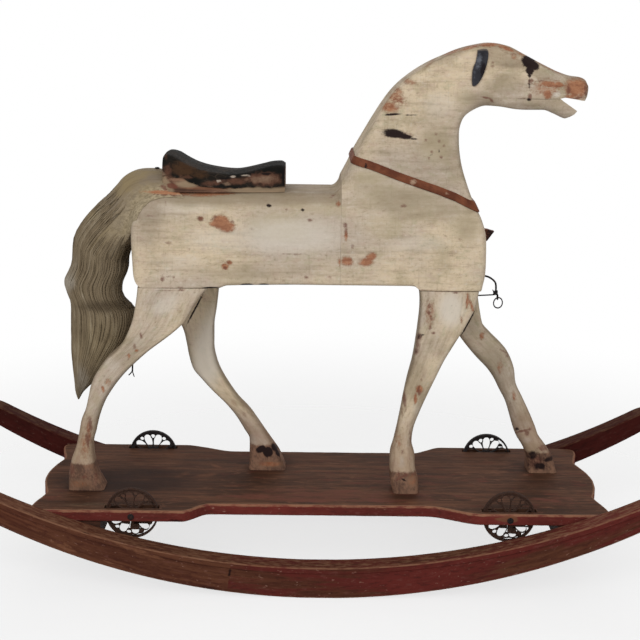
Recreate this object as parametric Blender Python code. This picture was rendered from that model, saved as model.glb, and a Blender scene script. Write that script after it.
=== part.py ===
# Rocking horse on a wheeled platform, carried between two bow rockers.
# Metres, +Z up. The horse faces +X, and the origin lies on the floor under the middle of the rockers.

import bmesh
import bpy
from math import asin, cos, pi, radians, sin, sqrt
from mathutils import Matrix, Vector

# Fits
GAP = 0.0003
SEAT_GAP = 0.0003
CUT_PAST = 0.010

# Rockers
ROCKER_RADIUS = 1.115
ROCKER_HALF_LENGTH = 0.600
ROCKER_HEIGHT = 0.0503
ROCKER_TIP_HEIGHT = 0.0300
ROCKER_THICKNESS = 0.0350
ROCKER_SPACING = 0.3180
ROCKER_FLAT = 0.050
ROCKER_SEGMENTS = 12
ROCKER_CHAMFER = 0.0022
ROCKER_NOSE = 0.72
NOSE_LIFT = 0.40
BEAD_DROP = 0.0090
BEAD_WIDTH = 0.0024
BEAD_DEPTH = 0.0016

# Cross rails between the rockers, and the pegs that locate the platform on them
RAIL_X = {"rear": -0.3675, "front": 0.395}
RAIL_WIDTH = 0.045
RAIL_HEIGHT = 0.030
TENON_LENGTH = 0.015
TENON_WIDTH = 0.014
TENON_HEIGHT = 0.016
TENON_DROP = 0.004
PEG_RADIUS = 0.005
PEG_CHAMFER = 0.002
PEG_IN_RAIL = 0.014
PEG_IN_BOARD = 0.010

# Platform board
BOARD_UNDERSIDE = 0.1090
BOARD_THICKNESS = 0.0187
BOARD_HALF_LENGTH = 0.459
BOARD_SIDE_PLAY = 0.0015
BOARD_WAIST_WIDTH = 0.252
WAIST_HALF_LENGTH = 0.194
WAIST_RAMP = 0.030
CORNER_RADIUS = 0.016
SCALLOP_DEPTH = 0.015
LOBE_STEP = 0.003
SCALLOP_Y = 0.078

# Iron wheels, their slots and axle pins
WHEEL_X = 0.2973
WHEEL_Y = 0.1405
WHEEL_RADIUS = 0.0415
WHEEL_DROP = 0.0009
RIM_WIDTH = 0.0085
RIM_DEPTH = 0.0052
WEB_THICKNESS = 0.0045
HUB_RADIUS = 0.0085
HUB_WIDTH = 0.0100
FORKS = 5
FORK_HOLE_RADIUS = 0.0042
FORK_HOLE_AT = 0.0308
PETAL_INNER = 0.0125
PETAL_OUTER = 0.0345
PETAL_HALF_WIDTH = 0.0060
PETAL_LEAN = 0.26
HUB_SLOPE = 0.0010
WHEEL_TURNS = {"rear_right": 260, "rear_left": 90, "front_right": 265, "front_left": 110}
SLOT_PLAY_X = 0.0035
SLOT_PLAY_Y = 0.0018
PIN_RADIUS = 0.0026
PIN_HEAD_RADIUS = 0.0050
PIN_HEAD_HEIGHT = 0.0032
PIN_PAST_SLOT = 0.0120

# Horse: trunk
LEG_HEIGHT = 0.3375
TRUNK_HEIGHT = 0.1490
BODY_WIDTH = 0.1500
RUMP_X = -0.3030
JOINT_X = 0.0260
CHEST_X = 0.2590
BACK_ROUND = 0.0280
BELLY_ROUND = 0.0060
BELLY_RISE = 0.0070
DOWEL_RADIUS = 0.008
DOWEL_DEPTH = 0.030
DOWEL_SPREAD = 0.035

# Horse: legs
LEG_THICKNESS = 0.0460
LEG_INSET = 0.0006
LEG_ROUND = 0.0080
LEG_TENON_WIDTH = 0.014
LEG_TENON_LENGTH = 0.045
LEG_TENON_DEPTH = 0.026
LEG_TENON_FOOT = 0.012
SCREW_RADIUS = 0.0022
SCREW_HEAD_RADIUS = 0.0045
SCREW_HEAD_DEPTH = 0.0035
SCREW_LENGTH = 0.040
SCREW_POINT = 0.005

# Saddle, tail, harness
TAIL_ROOT = 0.0500
TACK_RADIUS = 0.0042
TACK_LENGTH = 0.045
TACK_LIFT = 0.0030
SADDLE_PLAY = 0.0008
SADDLE_LENGTH = 0.1900
SADDLE_WIDTH = 0.1120
SADDLE_SKIN = 0.0026
STRAP_WIDTH = 0.0110
STRAP_THICKNESS = 0.0024
LEATHER_PLAY = 0.0006
EAR_THICKNESS = 0.0036
HEAD_HALF_WIDTH = 0.0405
WIRE_RADIUS = 0.0012
HOOK_Y = -0.0400
HOOK_REACH = 0.0190
HOOK_DROP = 0.0160
EYE_RADIUS = 0.0034
RING_RADIUS = 0.0085
RING_WIRE_RADIUS = 0.0008
TAB_WIDTH = 0.012

# Worked out from the sizes above
BOARD_TOP = BOARD_UNDERSIDE + BOARD_THICKNESS
BOARD_HALF_WIDTH = ROCKER_SPACING / 2 - BOARD_SIDE_PLAY
WHEEL_Z = BOARD_UNDERSIDE + BOARD_THICKNESS / 2 - WHEEL_DROP
SOLE_Z = BOARD_TOP + SEAT_GAP
BELLY_Z = SOLE_Z + LEG_HEIGHT + SEAT_GAP
BACK_Z = BELLY_Z + TRUNK_HEIGHT
LEG_Y = BODY_WIDTH / 2 - LEG_INSET - LEG_THICKNESS / 2
SADDLE_REAR_X = RUMP_X + TAIL_ROOT + SADDLE_PLAY

COLOURS = {
    "oxblood paint": ((0.115, 0.022, 0.018), 0.50, 0.0),
    "worn brown wood": ((0.120, 0.055, 0.030), 0.65, 0.0),
    "bare wood": ((0.300, 0.180, 0.090), 0.70, 0.0),
    "cream paint": ((0.520, 0.450, 0.330), 0.62, 0.0),
    "black iron": ((0.020, 0.019, 0.020), 0.55, 1.0),
    "rusty iron": ((0.120, 0.055, 0.030), 0.75, 0.6),
    "dark leather": ((0.022, 0.019, 0.018), 0.45, 0.0),
    "rust leather": ((0.230, 0.060, 0.028), 0.55, 0.0),
    "horsehair": ((0.300, 0.260, 0.190), 0.70, 0.0),
}


# Shared helpers

def clear_scene():
    for item in list(bpy.data.objects):
        bpy.data.objects.remove(item, do_unlink=True)


def material(node, finish):
    colour, roughness, metallic = COLOURS[finish]
    made = bpy.data.materials.new(node + "_material")
    made.use_nodes = True
    shader = made.node_tree.nodes["Principled BSDF"]
    shader.inputs["Base Color"].default_value = (*colour, 1.0)
    shader.inputs["Roughness"].default_value = roughness
    shader.inputs["Metallic"].default_value = metallic
    return made


def add(node, shape, finish=None, location=(0, 0, 0), smooth=30):
    """Turns a bmesh into a named object with its own material."""
    mesh = bpy.data.meshes.new(node)
    bmesh.ops.recalc_face_normals(shape, faces=shape.faces)
    shape.to_mesh(mesh)
    shape.free()
    made = bpy.data.objects.new(node, mesh)
    bpy.context.scene.collection.objects.link(made)
    made.location = location
    if finish:
        made.data.materials.append(material(node, finish))
    if smooth:
        mesh.shade_smooth()
        mesh.set_sharp_from_angle(angle=radians(smooth))
    return made


def combine(target, cutter, operation="DIFFERENCE"):
    """Applies a Boolean with a cutter that is kept as a hidden wire guide."""
    cutter.hide_render = True
    cutter.display_type = "WIRE"
    step = target.modifiers.new(operation.lower() + "_" + cutter.name, "BOOLEAN")
    step.operation = operation
    step.solver = "EXACT"
    step.object = cutter
    return step


def guide(name, shape, location=(0, 0, 0)):
    return add(name + "_guide", shape, location=location, smooth=None)


def box(size, centre=(0, 0, 0)):
    shape = bmesh.new()
    bmesh.ops.create_cube(shape, size=1.0)
    bmesh.ops.scale(shape, vec=size, verts=shape.verts)
    bmesh.ops.translate(shape, vec=centre, verts=shape.verts)
    return shape


def rod(radius, start, end, sides=16):
    """A closed cylinder between two points."""
    shape = bmesh.new()
    start, end = Vector(start), Vector(end)
    turn = (end - start).to_track_quat("Z", "Y").to_matrix().to_4x4()
    place = Matrix.Translation((start + end) / 2) @ turn
    bmesh.ops.create_cone(shape, cap_ends=True, segments=sides, radius1=radius, radius2=radius,
                          depth=(end - start).length, matrix=place)
    return shape


def lathe(profile, sides):
    """Turns a closed (radius, height) profile about Z; a radius of zero becomes a pole."""
    shape = bmesh.new()
    rings = []
    for radius, height in profile:
        if radius <= 0:
            rings.append([shape.verts.new((0, 0, height))])
            continue
        turns = [2 * pi * k / sides for k in range(sides)]
        rings.append([shape.verts.new((radius * cos(t), radius * sin(t), height)) for t in turns])
    closed = profile[0][0] > 0 and profile[-1][0] > 0
    pairs = list(zip(rings, rings[1:]))
    if closed:
        pairs.append((rings[-1], rings[0]))
    for lower, upper in pairs:
        for k in range(sides):
            j = (k + 1) % sides
            corners = [lower[k % len(lower)], lower[j % len(lower)],
                       upper[j % len(upper)], upper[k % len(upper)]]
            shape.faces.new(list(dict.fromkeys(corners)))
    return shape


def prism(outline, half_depth, y=0.0):
    """Extrudes an outline in the XZ plane along Y."""
    shape = bmesh.new()
    sides = []
    for depth in (y - half_depth, y + half_depth):
        sides.append([shape.verts.new((x, depth, z)) for x, z in outline])
    front, back = sides
    shape.faces.new(front)
    shape.faces.new(back[::-1])
    for k in range(len(outline)):
        j = (k + 1) % len(outline)
        shape.faces.new((front[k], back[k], back[j], front[j]))
    return shape


def plate(outline, bottom, top):
    """Extrudes an outline in the XY plane along Z."""
    shape = bmesh.new()
    lower = [shape.verts.new((x, y, bottom)) for x, y in outline]
    upper = [shape.verts.new((x, y, top)) for x, y in outline]
    shape.faces.new(lower[::-1])
    shape.faces.new(upper)
    for k in range(len(outline)):
        j = (k + 1) % len(outline)
        shape.faces.new((lower[k], lower[j], upper[j], upper[k]))
    return shape


def skin(rings):
    """Joins rings of points of equal count and caps both ends."""
    shape = bmesh.new()
    rows = [[shape.verts.new(point) for point in ring] for ring in rings]
    count = len(rows[0])
    for lower, upper in zip(rows, rows[1:]):
        for k in range(count):
            j = (k + 1) % count
            shape.faces.new((lower[k], lower[j], upper[j], upper[k]))
    shape.faces.new(rows[0][::-1])
    shape.faces.new(rows[-1])
    return shape


def plank_section(upper, lower, y, half_width, upper_round, lower_round, grow=0.0, steps=3):
    """A rounded rectangle whose long axis runs from lower to upper in the XZ plane."""
    upper, lower = Vector(upper), Vector(lower)
    span = (upper - lower).length
    along = (upper - lower) / span
    ring = []
    for end, turn in ((1, 0), (1, 1), (-1, 2), (-1, 3)):
        radius = min(upper_round if end > 0 else lower_round, 0.98 * half_width, 0.46 * span)
        side = 1 if turn in (0, 3) else -1
        for step in range(steps + 1):
            angle = pi / 2 * (turn + step / steps)
            reach = span / 2 - radius
            s = end * reach + (radius + grow) * sin(angle)
            t = side * (half_width - radius) + (radius + grow) * cos(angle)
            point = (upper + lower) / 2 + along * s
            ring.append((point.x, y + t, point.y))
    return ring


# Base: rockers, cross rails and pegs

def rocker_height(x):
    share = (x / ROCKER_HALF_LENGTH) ** 2
    return ROCKER_HEIGHT + (ROCKER_TIP_HEIGHT - ROCKER_HEIGHT) * share


def rocker_stations():
    """Angles of the sole's corners; the middle segment is the flat worn rest."""
    flat = asin(ROCKER_FLAT / 2 / ROCKER_RADIUS)
    tip = asin(ROCKER_HALF_LENGTH / ROCKER_RADIUS)
    side = [flat + (tip - flat) * k / ROCKER_SEGMENTS for k in range(ROCKER_SEGMENTS + 1)]
    return [-angle for angle in reversed(side)] + side


def rocker(node, side):
    centre = sqrt(ROCKER_RADIUS ** 2 - (ROCKER_FLAT / 2) ** 2)
    inner = ROCKER_SPACING / 2
    outer = inner + ROCKER_THICKNESS
    rings = []
    stations = rocker_stations()
    for k, angle in enumerate(stations):
        x = ROCKER_RADIUS * sin(angle)
        high = rocker_height(x)
        nose = ROCKER_NOSE if k in (0, len(stations) - 1) else 1.0
        low = (1 - nose) * high * NOSE_LIFT
        top = high * nose + low
        bead = top - BEAD_DROP * nose
        profile = [
            (inner + ROCKER_CHAMFER, low), (outer - ROCKER_CHAMFER, low),
            (outer, low + ROCKER_CHAMFER),
            (outer, bead - BEAD_WIDTH), (outer - BEAD_DEPTH, bead - BEAD_WIDTH / 2), (outer, bead),
            (outer, top - ROCKER_CHAMFER), (outer - ROCKER_CHAMFER, top),
            (inner + ROCKER_CHAMFER, top), (inner, top - ROCKER_CHAMFER),
            (inner, low + ROCKER_CHAMFER),
        ]
        ring = []
        for across, up in profile:
            reach = ROCKER_RADIUS - up
            ring.append((reach * sin(angle), side * across, centre - reach * cos(angle)))
        rings.append(ring)
    made = add(node, skin(rings), "oxblood paint")
    for end, x in RAIL_X.items():
        size = (TENON_WIDTH + 2 * GAP, 2 * (TENON_LENGTH + GAP), TENON_HEIGHT + 2 * GAP)
        hole = box(size, (x, side * inner, rail_middle() - TENON_DROP))
        combine(made, guide(f"{node}_mortise_{end}", hole))
    return made


def rail_middle():
    return BOARD_UNDERSIDE - SEAT_GAP - RAIL_HEIGHT / 2


def cross_rail(node, x):
    length = ROCKER_SPACING - 2 * GAP
    shape = box((RAIL_WIDTH, length, RAIL_HEIGHT), (x, 0, rail_middle()))
    made = add(node, shape, "worn brown wood", smooth=None)
    reach = ROCKER_SPACING + 2 * TENON_LENGTH
    tenon = box((TENON_WIDTH, reach, TENON_HEIGHT), (x, 0, rail_middle() - TENON_DROP))
    combine(made, guide(node + "_tenon", tenon), "UNION")
    top = BOARD_UNDERSIDE - SEAT_GAP
    hole = rod(PEG_RADIUS + GAP, (x, 0, top - PEG_IN_RAIL - GAP), (x, 0, top + CUT_PAST))
    combine(made, guide(node + "_hole", hole))
    return made


def peg(node, x):
    foot = BOARD_UNDERSIDE - SEAT_GAP - PEG_IN_RAIL
    tip = BOARD_UNDERSIDE + PEG_IN_BOARD
    profile = [(0, foot), (PEG_RADIUS, foot), (PEG_RADIUS, tip - PEG_CHAMFER), (PEG_RADIUS - PEG_CHAMFER, tip),
               (0, tip)]
    return add(node, lathe(profile, 12), "bare wood", location=(x, 0, 0))


# Platform: board, wheels and axle pins

def arc(centre, radius, start, end, steps):
    points = []
    for k in range(steps + 1):
        angle = radians(start + (end - start) * k / steps)
        points.append((centre[0] + radius * cos(angle), centre[1] + radius * sin(angle)))
    return points


def board_outline():
    """One quarter of the outline, from mid-side to mid-end, then mirrored twice."""
    wide = BOARD_HALF_WIDTH
    waist = BOARD_WAIST_WIDTH / 2
    quarter = [(WAIST_HALF_LENGTH - WAIST_RAMP / 2, waist)]
    for k in range(1, 5):
        share = k / 4
        ease = share * share * (3 - 2 * share)
        x = WAIST_HALF_LENGTH - WAIST_RAMP / 2 + WAIST_RAMP * share
        quarter.append((x, waist + (wide - waist) * ease))
    corner = (BOARD_HALF_LENGTH - CORNER_RADIUS - LOBE_STEP, wide - CORNER_RADIUS)
    quarter += arc(corner, CORNER_RADIUS, 90, 0, 4)
    ear_end = quarter[-1]
    dip = (BOARD_HALF_LENGTH - SCALLOP_DEPTH, SCALLOP_Y)
    for k in range(1, 5):
        share = k / 4
        ease = sin(share * pi / 2) ** 2
        quarter.append((ear_end[0] + (dip[0] - ear_end[0]) * ease,
                        ear_end[1] + (dip[1] - ear_end[1]) * share))
    for k in range(1, 5):
        share = k / 4
        quarter.append((dip[0] + SCALLOP_DEPTH * sin(share * pi / 2), dip[1] * (1 - share)))
    end = quarter + [(x, -y) for x, y in reversed(quarter[:-1])]
    return end + [(-x, -y) for x, y in end]


def board(node):
    made = add(node, plate(board_outline(), BOARD_UNDERSIDE, BOARD_TOP), "worn brown wood", smooth=20)
    slot = (2 * (WHEEL_RADIUS + SLOT_PLAY_X), HUB_WIDTH + 2 * SLOT_PLAY_Y, 3 * BOARD_THICKNESS)
    for end in (-1, 1):
        for side in (-1, 1):
            tag = f"{node}_{end}_{side}"
            middle = (end * WHEEL_X, side * WHEEL_Y, WHEEL_Z)
            combine(made, guide(tag + "_slot", box(slot, middle)))
            inner = side * (WHEEL_Y - HUB_WIDTH / 2 - SLOT_PLAY_Y - PIN_PAST_SLOT - GAP)
            outer = side * (BOARD_HALF_WIDTH + CUT_PAST)
            bore = rod(PIN_RADIUS + GAP, (middle[0], inner, WHEEL_Z), (middle[0], outer, WHEEL_Z), 12)
            combine(made, guide(tag + "_bore", bore))
    for end, x in RAIL_X.items():
        top = BOARD_UNDERSIDE + PEG_IN_BOARD + GAP
        hole = rod(PEG_RADIUS + GAP, (x, 0, BOARD_UNDERSIDE - CUT_PAST), (x, 0, top))
        combine(made, guide(f"{node}_{end}_peg_hole", hole))
    for name, leg in LEGS.items():
        x, y = sole_middle(leg), leg["side"] * LEG_Y
        start, end = (x, y, BOARD_UNDERSIDE - CUT_PAST), (x, y, BOARD_TOP + CUT_PAST)
        combine(made, guide(f"{node}_{name}_screw_hole", rod(SCREW_RADIUS + GAP, start, end, 8)))
        sunk = (x, y, BOARD_UNDERSIDE + SCREW_HEAD_DEPTH + 2 * GAP)
        head = rod(SCREW_HEAD_RADIUS + GAP, start, sunk, 8)
        combine(made, guide(f"{node}_{name}_screw_head", head))
    return made


def wheel(node, end, side, turn):
    """Cast rosette: rim, web pierced by petals and fork holes, and a hub; its axis lies along Y."""
    rim_inner = WHEEL_RADIUS - RIM_DEPTH
    half_rim, half_web, half_hub = RIM_WIDTH / 2, WEB_THICKNESS / 2, HUB_WIDTH / 2
    profile = [
        (PIN_RADIUS + GAP, -half_hub), (HUB_RADIUS, -half_hub), (HUB_RADIUS + HUB_SLOPE, -half_web),
        (rim_inner, -half_web), (rim_inner + HUB_SLOPE, -half_rim), (WHEEL_RADIUS, -half_rim),
        (WHEEL_RADIUS, half_rim), (rim_inner + HUB_SLOPE, half_rim), (rim_inner, half_web),
        (HUB_RADIUS + HUB_SLOPE, half_web), (HUB_RADIUS, half_hub), (PIN_RADIUS + GAP, half_hub),
    ]
    turned = lathe(profile, 24)
    bmesh.ops.rotate(turned, matrix=Matrix.Rotation(pi / 2, 3, "X"), verts=turned.verts)
    place = (end * WHEEL_X, side * WHEEL_Y, WHEEL_Z)
    made = add(node, turned, "black iron", location=place, smooth=40)
    holes = bmesh.new()
    corners = [2 * pi * n / 6 for n in range(6)]
    fork_hole = [(FORK_HOLE_AT + FORK_HOLE_RADIUS * cos(t), FORK_HOLE_RADIUS * sin(t)) for t in corners]
    for k in range(FORKS):
        fork = 2 * pi * k / FORKS + radians(turn)
        pierce(holes, fork_hole, fork)
        for lean in (-PETAL_LEAN, PETAL_LEAN):
            pierce(holes, petal_outline(), fork + lean * 2 * pi / FORKS)
    combine(made, guide(node + "_openwork", holes, location=place))
    return made


def petal_outline():
    """A drop that is widest near its outer third."""
    length = PETAL_OUTER - PETAL_INNER
    upper = []
    for share, width in ((0.0, 0.30), (0.66, 1.0), (1.0, 0.52)):
        upper.append((PETAL_INNER + length * share, PETAL_HALF_WIDTH * width))
    return upper + [(x, -y) for x, y in reversed(upper)]


def pierce(shape, outline, angle):
    """Adds a prism along Y through the wheel's web at the given angle."""
    depth = HUB_WIDTH
    rows = []
    for y in (-depth, depth):
        rows.append([shape.verts.new((r * cos(angle) - t * sin(angle), y, r * sin(angle) + t * cos(angle)))
                     for r, t in outline])
    lower, upper = rows
    shape.faces.new(lower)
    shape.faces.new(upper[::-1])
    for k in range(len(outline)):
        j = (k + 1) % len(outline)
        shape.faces.new((lower[k], upper[k], upper[j], lower[j]))


def axle_pin(node, end, side):
    """Driven in from the board's edge; the wheel turns on its shank."""
    shank = BOARD_HALF_WIDTH - (WHEEL_Y - HUB_WIDTH / 2 - SLOT_PLAY_Y - PIN_PAST_SLOT)
    head = PIN_HEAD_HEIGHT
    profile = [(0, -shank), (PIN_RADIUS, -shank), (PIN_RADIUS, GAP), (PIN_HEAD_RADIUS, GAP),
               (PIN_HEAD_RADIUS, head * 0.4), (PIN_HEAD_RADIUS * 0.7, head * 0.85), (0, head)]
    shape = lathe(profile, 12)
    bmesh.ops.rotate(shape, matrix=Matrix.Rotation(-side * pi / 2, 3, "X"), verts=shape.verts)
    return add(node, shape, "rusty iron", location=(end * WHEEL_X, side * BOARD_HALF_WIDTH, WHEEL_Z), smooth=40)


# Horse: trunk, neck and head

# Ribs of the rump: upper end (forward of the rump, below the back),
# lower end (forward of the rump, above the belly) and how far each side draws in
RUMP_RIBS = [
    (0.0000, 0.0680, 0.0025, 0.0400, 0.0200), (0.0030, 0.0410, 0.0055, 0.0160, 0.0085),
    (0.0110, 0.0225, 0.0100, 0.0060, 0.0035), (0.0240, 0.0110, 0.0180, 0.0000, 0.0010),
    (0.0420, 0.0030, 0.0380, 0.0000, 0.0000), (0.0680, 0.0000, 0.0680, 0.0000, 0.0000),
    (0.1370, 0.0000, 0.1370, 0.0000, 0.0000), (0.1520, 0.0000, 0.1520, 0.0045, 0.0000),
]


def trunk_rings(grow=0.0):
    """The barrel from the rump's rounded end to the glued joint in front."""
    half = BODY_WIDTH / 2
    rings = []
    for k, (ux, drop, lx, rise, inset) in enumerate(RUMP_RIBS):
        shift = -grow if k == 0 else 0.0
        upper = (RUMP_X + ux + shift, BACK_Z - drop)
        lower = (RUMP_X + lx + shift, BELLY_Z + rise)
        rings.append(plank_section(upper, lower, 0, half - inset, BACK_ROUND, BELLY_ROUND, grow))
    front = JOINT_X - SEAT_GAP + grow
    belly = BELLY_Z + BELLY_RISE
    rings.append(plank_section((front, BACK_Z), (front, belly), 0, half, BACK_ROUND, BELLY_ROUND, grow))
    return rings


# Ribs of the chest block: crest (forward of the joint, above the back), lower end (shares of the
# chest's length and of the trunk's height) and share of the body's width
CHEST_RIBS = [
    (0.0000, 0.0000, 0.000, 0.047, 1.000), (0.0006, 0.0100, 0.215, 0.047, 1.000),
    (0.0020, 0.0180, 0.440, 0.047, 1.000), (0.0040, 0.0240, 0.505, 0.040, 1.000),
    (0.0060, 0.0290, 0.545, 0.000, 1.000), (0.0085, 0.0340, 0.800, 0.000, 1.000),
    (0.0125, 0.0425, 0.950, 0.000, 0.995), (0.0170, 0.0520, 0.976, 0.075, 0.975),
    (0.0215, 0.0620, 0.987, 0.220, 0.945), (0.0275, 0.0730, 0.982, 0.370, 0.915),
    (0.0340, 0.0845, 0.978, 0.555, 0.880), (0.0415, 0.0980, 0.943, 0.745, 0.840),
]

# Ribs of the neck and head: crest and throat, both forward of the joint and above the back,
# and half the thickness
NECK_RIBS = [
    (0.0505, 0.1140, 0.2070, -0.0125, 0.0590), (0.0625, 0.1340, 0.1955, 0.0165, 0.0550),
    (0.0755, 0.1525, 0.1870, 0.0435, 0.0510), (0.0905, 0.1690, 0.1825, 0.0695, 0.0475),
    (0.1105, 0.1850, 0.1815, 0.0935, 0.0445), (0.1320, 0.1985, 0.1870, 0.1155, 0.0420),
    (0.1570, 0.2105, 0.2025, 0.1290, 0.0400), (0.1820, 0.2210, 0.2230, 0.1360, 0.0385),
    (0.2050, 0.2280, 0.2460, 0.1345, 0.0375), (0.2270, 0.2315, 0.2680, 0.1310, 0.0365),
    (0.2510, 0.2275, 0.2890, 0.1300, 0.0350), (0.2790, 0.2145, 0.3110, 0.1300, 0.0325),
    (0.3090, 0.1995, 0.3300, 0.1240, 0.0295), (0.3360, 0.1875, 0.3495, 0.1165, 0.0265),
    (0.3570, 0.1815, 0.3620, 0.1165, 0.0240), (0.3710, 0.1800, 0.3705, 0.1225, 0.0215),
    (0.3800, 0.1755, 0.3775, 0.1350, 0.0185), (0.3845, 0.1680, 0.3825, 0.1470, 0.0130),
]
MOUTH = [(0.3440, 0.1420), (0.3700, 0.1415), (0.4100, 0.1560), (0.4100, 0.1000)]
CREST_ROUND = 0.0150
THROAT_ROUND = 0.0140


def forequarter_rings(grow=0.0):
    half = BODY_WIDTH / 2
    rings = []
    for k, (cx, cz, depth, rise, width) in enumerate(CHEST_RIBS):
        blend = k / (len(CHEST_RIBS) - 1)
        crest = BACK_ROUND + (CREST_ROUND - BACK_ROUND) * blend
        throat = BELLY_ROUND + (THROAT_ROUND - BELLY_ROUND) * blend
        shift = -grow if k == 0 else 0.0
        upper = (JOINT_X + cx + shift, BACK_Z + cz)
        lower = (JOINT_X + depth * (CHEST_X - JOINT_X) + shift, BELLY_Z + rise * TRUNK_HEIGHT)
        rings.append(plank_section(upper, lower, 0, half * width, crest, throat, grow))
    for cx, cz, tx, tz, width in NECK_RIBS:
        upper = (JOINT_X + cx, BACK_Z + cz)
        lower = (JOINT_X + tx, BACK_Z + tz)
        rings.append(plank_section(upper, lower, 0, width, CREST_ROUND, THROAT_ROUND, grow))
    return rings


def cut_dowel_holes(target, tag):
    for k, z in enumerate(dowel_heights()):
        reach = DOWEL_DEPTH + 2 * GAP
        hole = rod(DOWEL_RADIUS + GAP, (JOINT_X - reach, 0, z), (JOINT_X + reach, 0, z), 14)
        combine(target, guide(f"{tag}_dowel_hole_{k}", hole))


def dowel_heights():
    middle = BELLY_Z + TRUNK_HEIGHT / 2
    return middle - DOWEL_SPREAD, middle + DOWEL_SPREAD


def body_dowel(node, z):
    shape = rod(DOWEL_RADIUS, (JOINT_X - DOWEL_DEPTH, 0, z), (JOINT_X + DOWEL_DEPTH, 0, z), 14)
    return add(node, shape, "bare wood")


# Horse: legs. Each rib is (rear x, rear height, front x, front height, share of the thickness);
# x runs forward from the rump or the chest, and heights are shares of the leg's height.

LEGS = {
    "leg_rear_right": {"side": -1, "from": RUMP_X, "ribs": [
        (0.0115, 1.000, 0.1230, 1.000, 1.00), (0.0105, 0.970, 0.1130, 0.970, 1.00),
        (0.0070, 0.905, 0.0990, 0.910, 1.00), (-0.0045, 0.835, 0.0830, 0.835, 1.00),
        (-0.0200, 0.773, 0.0630, 0.785, 0.99), (-0.0350, 0.710, 0.0420, 0.738, 0.97),
        (-0.0490, 0.650, 0.0230, 0.690, 0.94), (-0.0600, 0.587, 0.0030, 0.638, 0.90),
        (-0.0680, 0.520, -0.0160, 0.572, 0.86), (-0.0725, 0.455, -0.0325, 0.500, 0.82),
        (-0.0770, 0.395, -0.0460, 0.433, 0.78), (-0.0830, 0.340, -0.0555, 0.361, 0.75),
        (-0.0910, 0.274, -0.0595, 0.286, 0.74), (-0.0990, 0.210, -0.0605, 0.219, 0.78),
        (-0.1055, 0.144, -0.0585, 0.153, 0.88), (-0.1095, 0.081, -0.0535, 0.081, 0.97),
        (-0.1110, 0.000, -0.0500, 0.000, 1.00)]},
    "leg_rear_left": {"side": 1, "from": RUMP_X, "ribs": [
        (0.0180, 1.000, 0.1340, 1.000, 1.00), (0.0180, 0.970, 0.1315, 0.970, 1.00),
        (0.0330, 0.904, 0.1295, 0.904, 1.00), (0.0530, 0.819, 0.1260, 0.819, 1.00),
        (0.0710, 0.732, 0.1220, 0.729, 0.97), (0.0790, 0.654, 0.1220, 0.638, 0.94),
        (0.0835, 0.584, 0.1265, 0.560, 0.91), (0.0900, 0.518, 0.1335, 0.503, 0.88),
        (0.1040, 0.465, 0.1455, 0.434, 0.86), (0.1220, 0.404, 0.1620, 0.364, 0.83),
        (0.1410, 0.345, 0.1810, 0.307, 0.80), (0.1585, 0.273, 0.1965, 0.247, 0.78),
        (0.1725, 0.205, 0.2085, 0.193, 0.80), (0.1820, 0.151, 0.2205, 0.139, 0.86),
        (0.1825, 0.084, 0.2325, 0.081, 0.96), (0.1815, 0.000, 0.2435, 0.000, 1.00)]},
    "leg_front_right": {"side": -1, "from": CHEST_X, "ribs": [
        (-0.1075, 1.000, -0.0140, 1.000, 1.00), (-0.1060, 0.970, -0.0155, 0.970, 1.00),
        (-0.1050, 0.910, -0.0205, 0.910, 1.00), (-0.1070, 0.825, -0.0345, 0.825, 1.00),
        (-0.1105, 0.741, -0.0500, 0.741, 0.97), (-0.1150, 0.657, -0.0650, 0.657, 0.94),
        (-0.1220, 0.572, -0.0770, 0.572, 0.90), (-0.1275, 0.488, -0.0890, 0.488, 0.86),
        (-0.1315, 0.410, -0.1005, 0.404, 0.82), (-0.1360, 0.331, -0.1095, 0.325, 0.78),
        (-0.1405, 0.259, -0.1128, 0.253, 0.75), (-0.1430, 0.187, -0.1105, 0.187, 0.78),
        (-0.1450, 0.115, -0.1030, 0.115, 0.88), (-0.1465, 0.060, -0.0965, 0.060, 0.98),
        (-0.1460, 0.000, -0.0950, 0.000, 1.00)]},
    "leg_front_left": {"side": 1, "from": CHEST_X, "ribs": [
        (-0.0990, 1.000, -0.0150, 1.000, 1.00), (-0.0960, 0.970, -0.0140, 0.970, 1.00),
        (-0.0800, 0.897, -0.0045, 0.915, 1.00), (-0.0610, 0.819, 0.0005, 0.837, 0.98),
        (-0.0405, 0.747, 0.0075, 0.762, 0.96), (-0.0210, 0.669, 0.0225, 0.708, 0.94),
        (-0.0005, 0.597, 0.0415, 0.654, 0.92), (0.0190, 0.537, 0.0550, 0.609, 0.89),
        (0.0320, 0.482, 0.0650, 0.536, 0.86), (0.0420, 0.425, 0.0695, 0.458, 0.82),
        (0.0525, 0.368, 0.0805, 0.386, 0.78), (0.0605, 0.301, 0.0930, 0.307, 0.76),
        (0.0670, 0.241, 0.1040, 0.235, 0.77), (0.0750, 0.181, 0.1130, 0.181, 0.82),
        (0.0860, 0.129, 0.1245, 0.135, 0.90), (0.0930, 0.078, 0.1365, 0.081, 0.97),
        (0.0950, 0.000, 0.1450, 0.000, 1.00)]},
}


def sole_middle(leg):
    rear_x, _, front_x, _, _ = leg["ribs"][-1]
    return leg["from"] + (rear_x + front_x) / 2


def tenon_middle(leg):
    rear_x, _, front_x, _, _ = leg["ribs"][0]
    return leg["from"] + (rear_x + front_x) / 2


def tenon_box(leg, clearance=0.0):
    """The tenon on the leg's top, or with a clearance the mortise that takes it."""
    size = (LEG_TENON_LENGTH + 2 * clearance, LEG_TENON_WIDTH + 2 * clearance,
            LEG_TENON_DEPTH + LEG_TENON_FOOT + clearance)
    middle_z = BELLY_Z + (LEG_TENON_DEPTH - LEG_TENON_FOOT + clearance) / 2
    return box(size, (tenon_middle(leg), leg["side"] * LEG_Y, middle_z))


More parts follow.
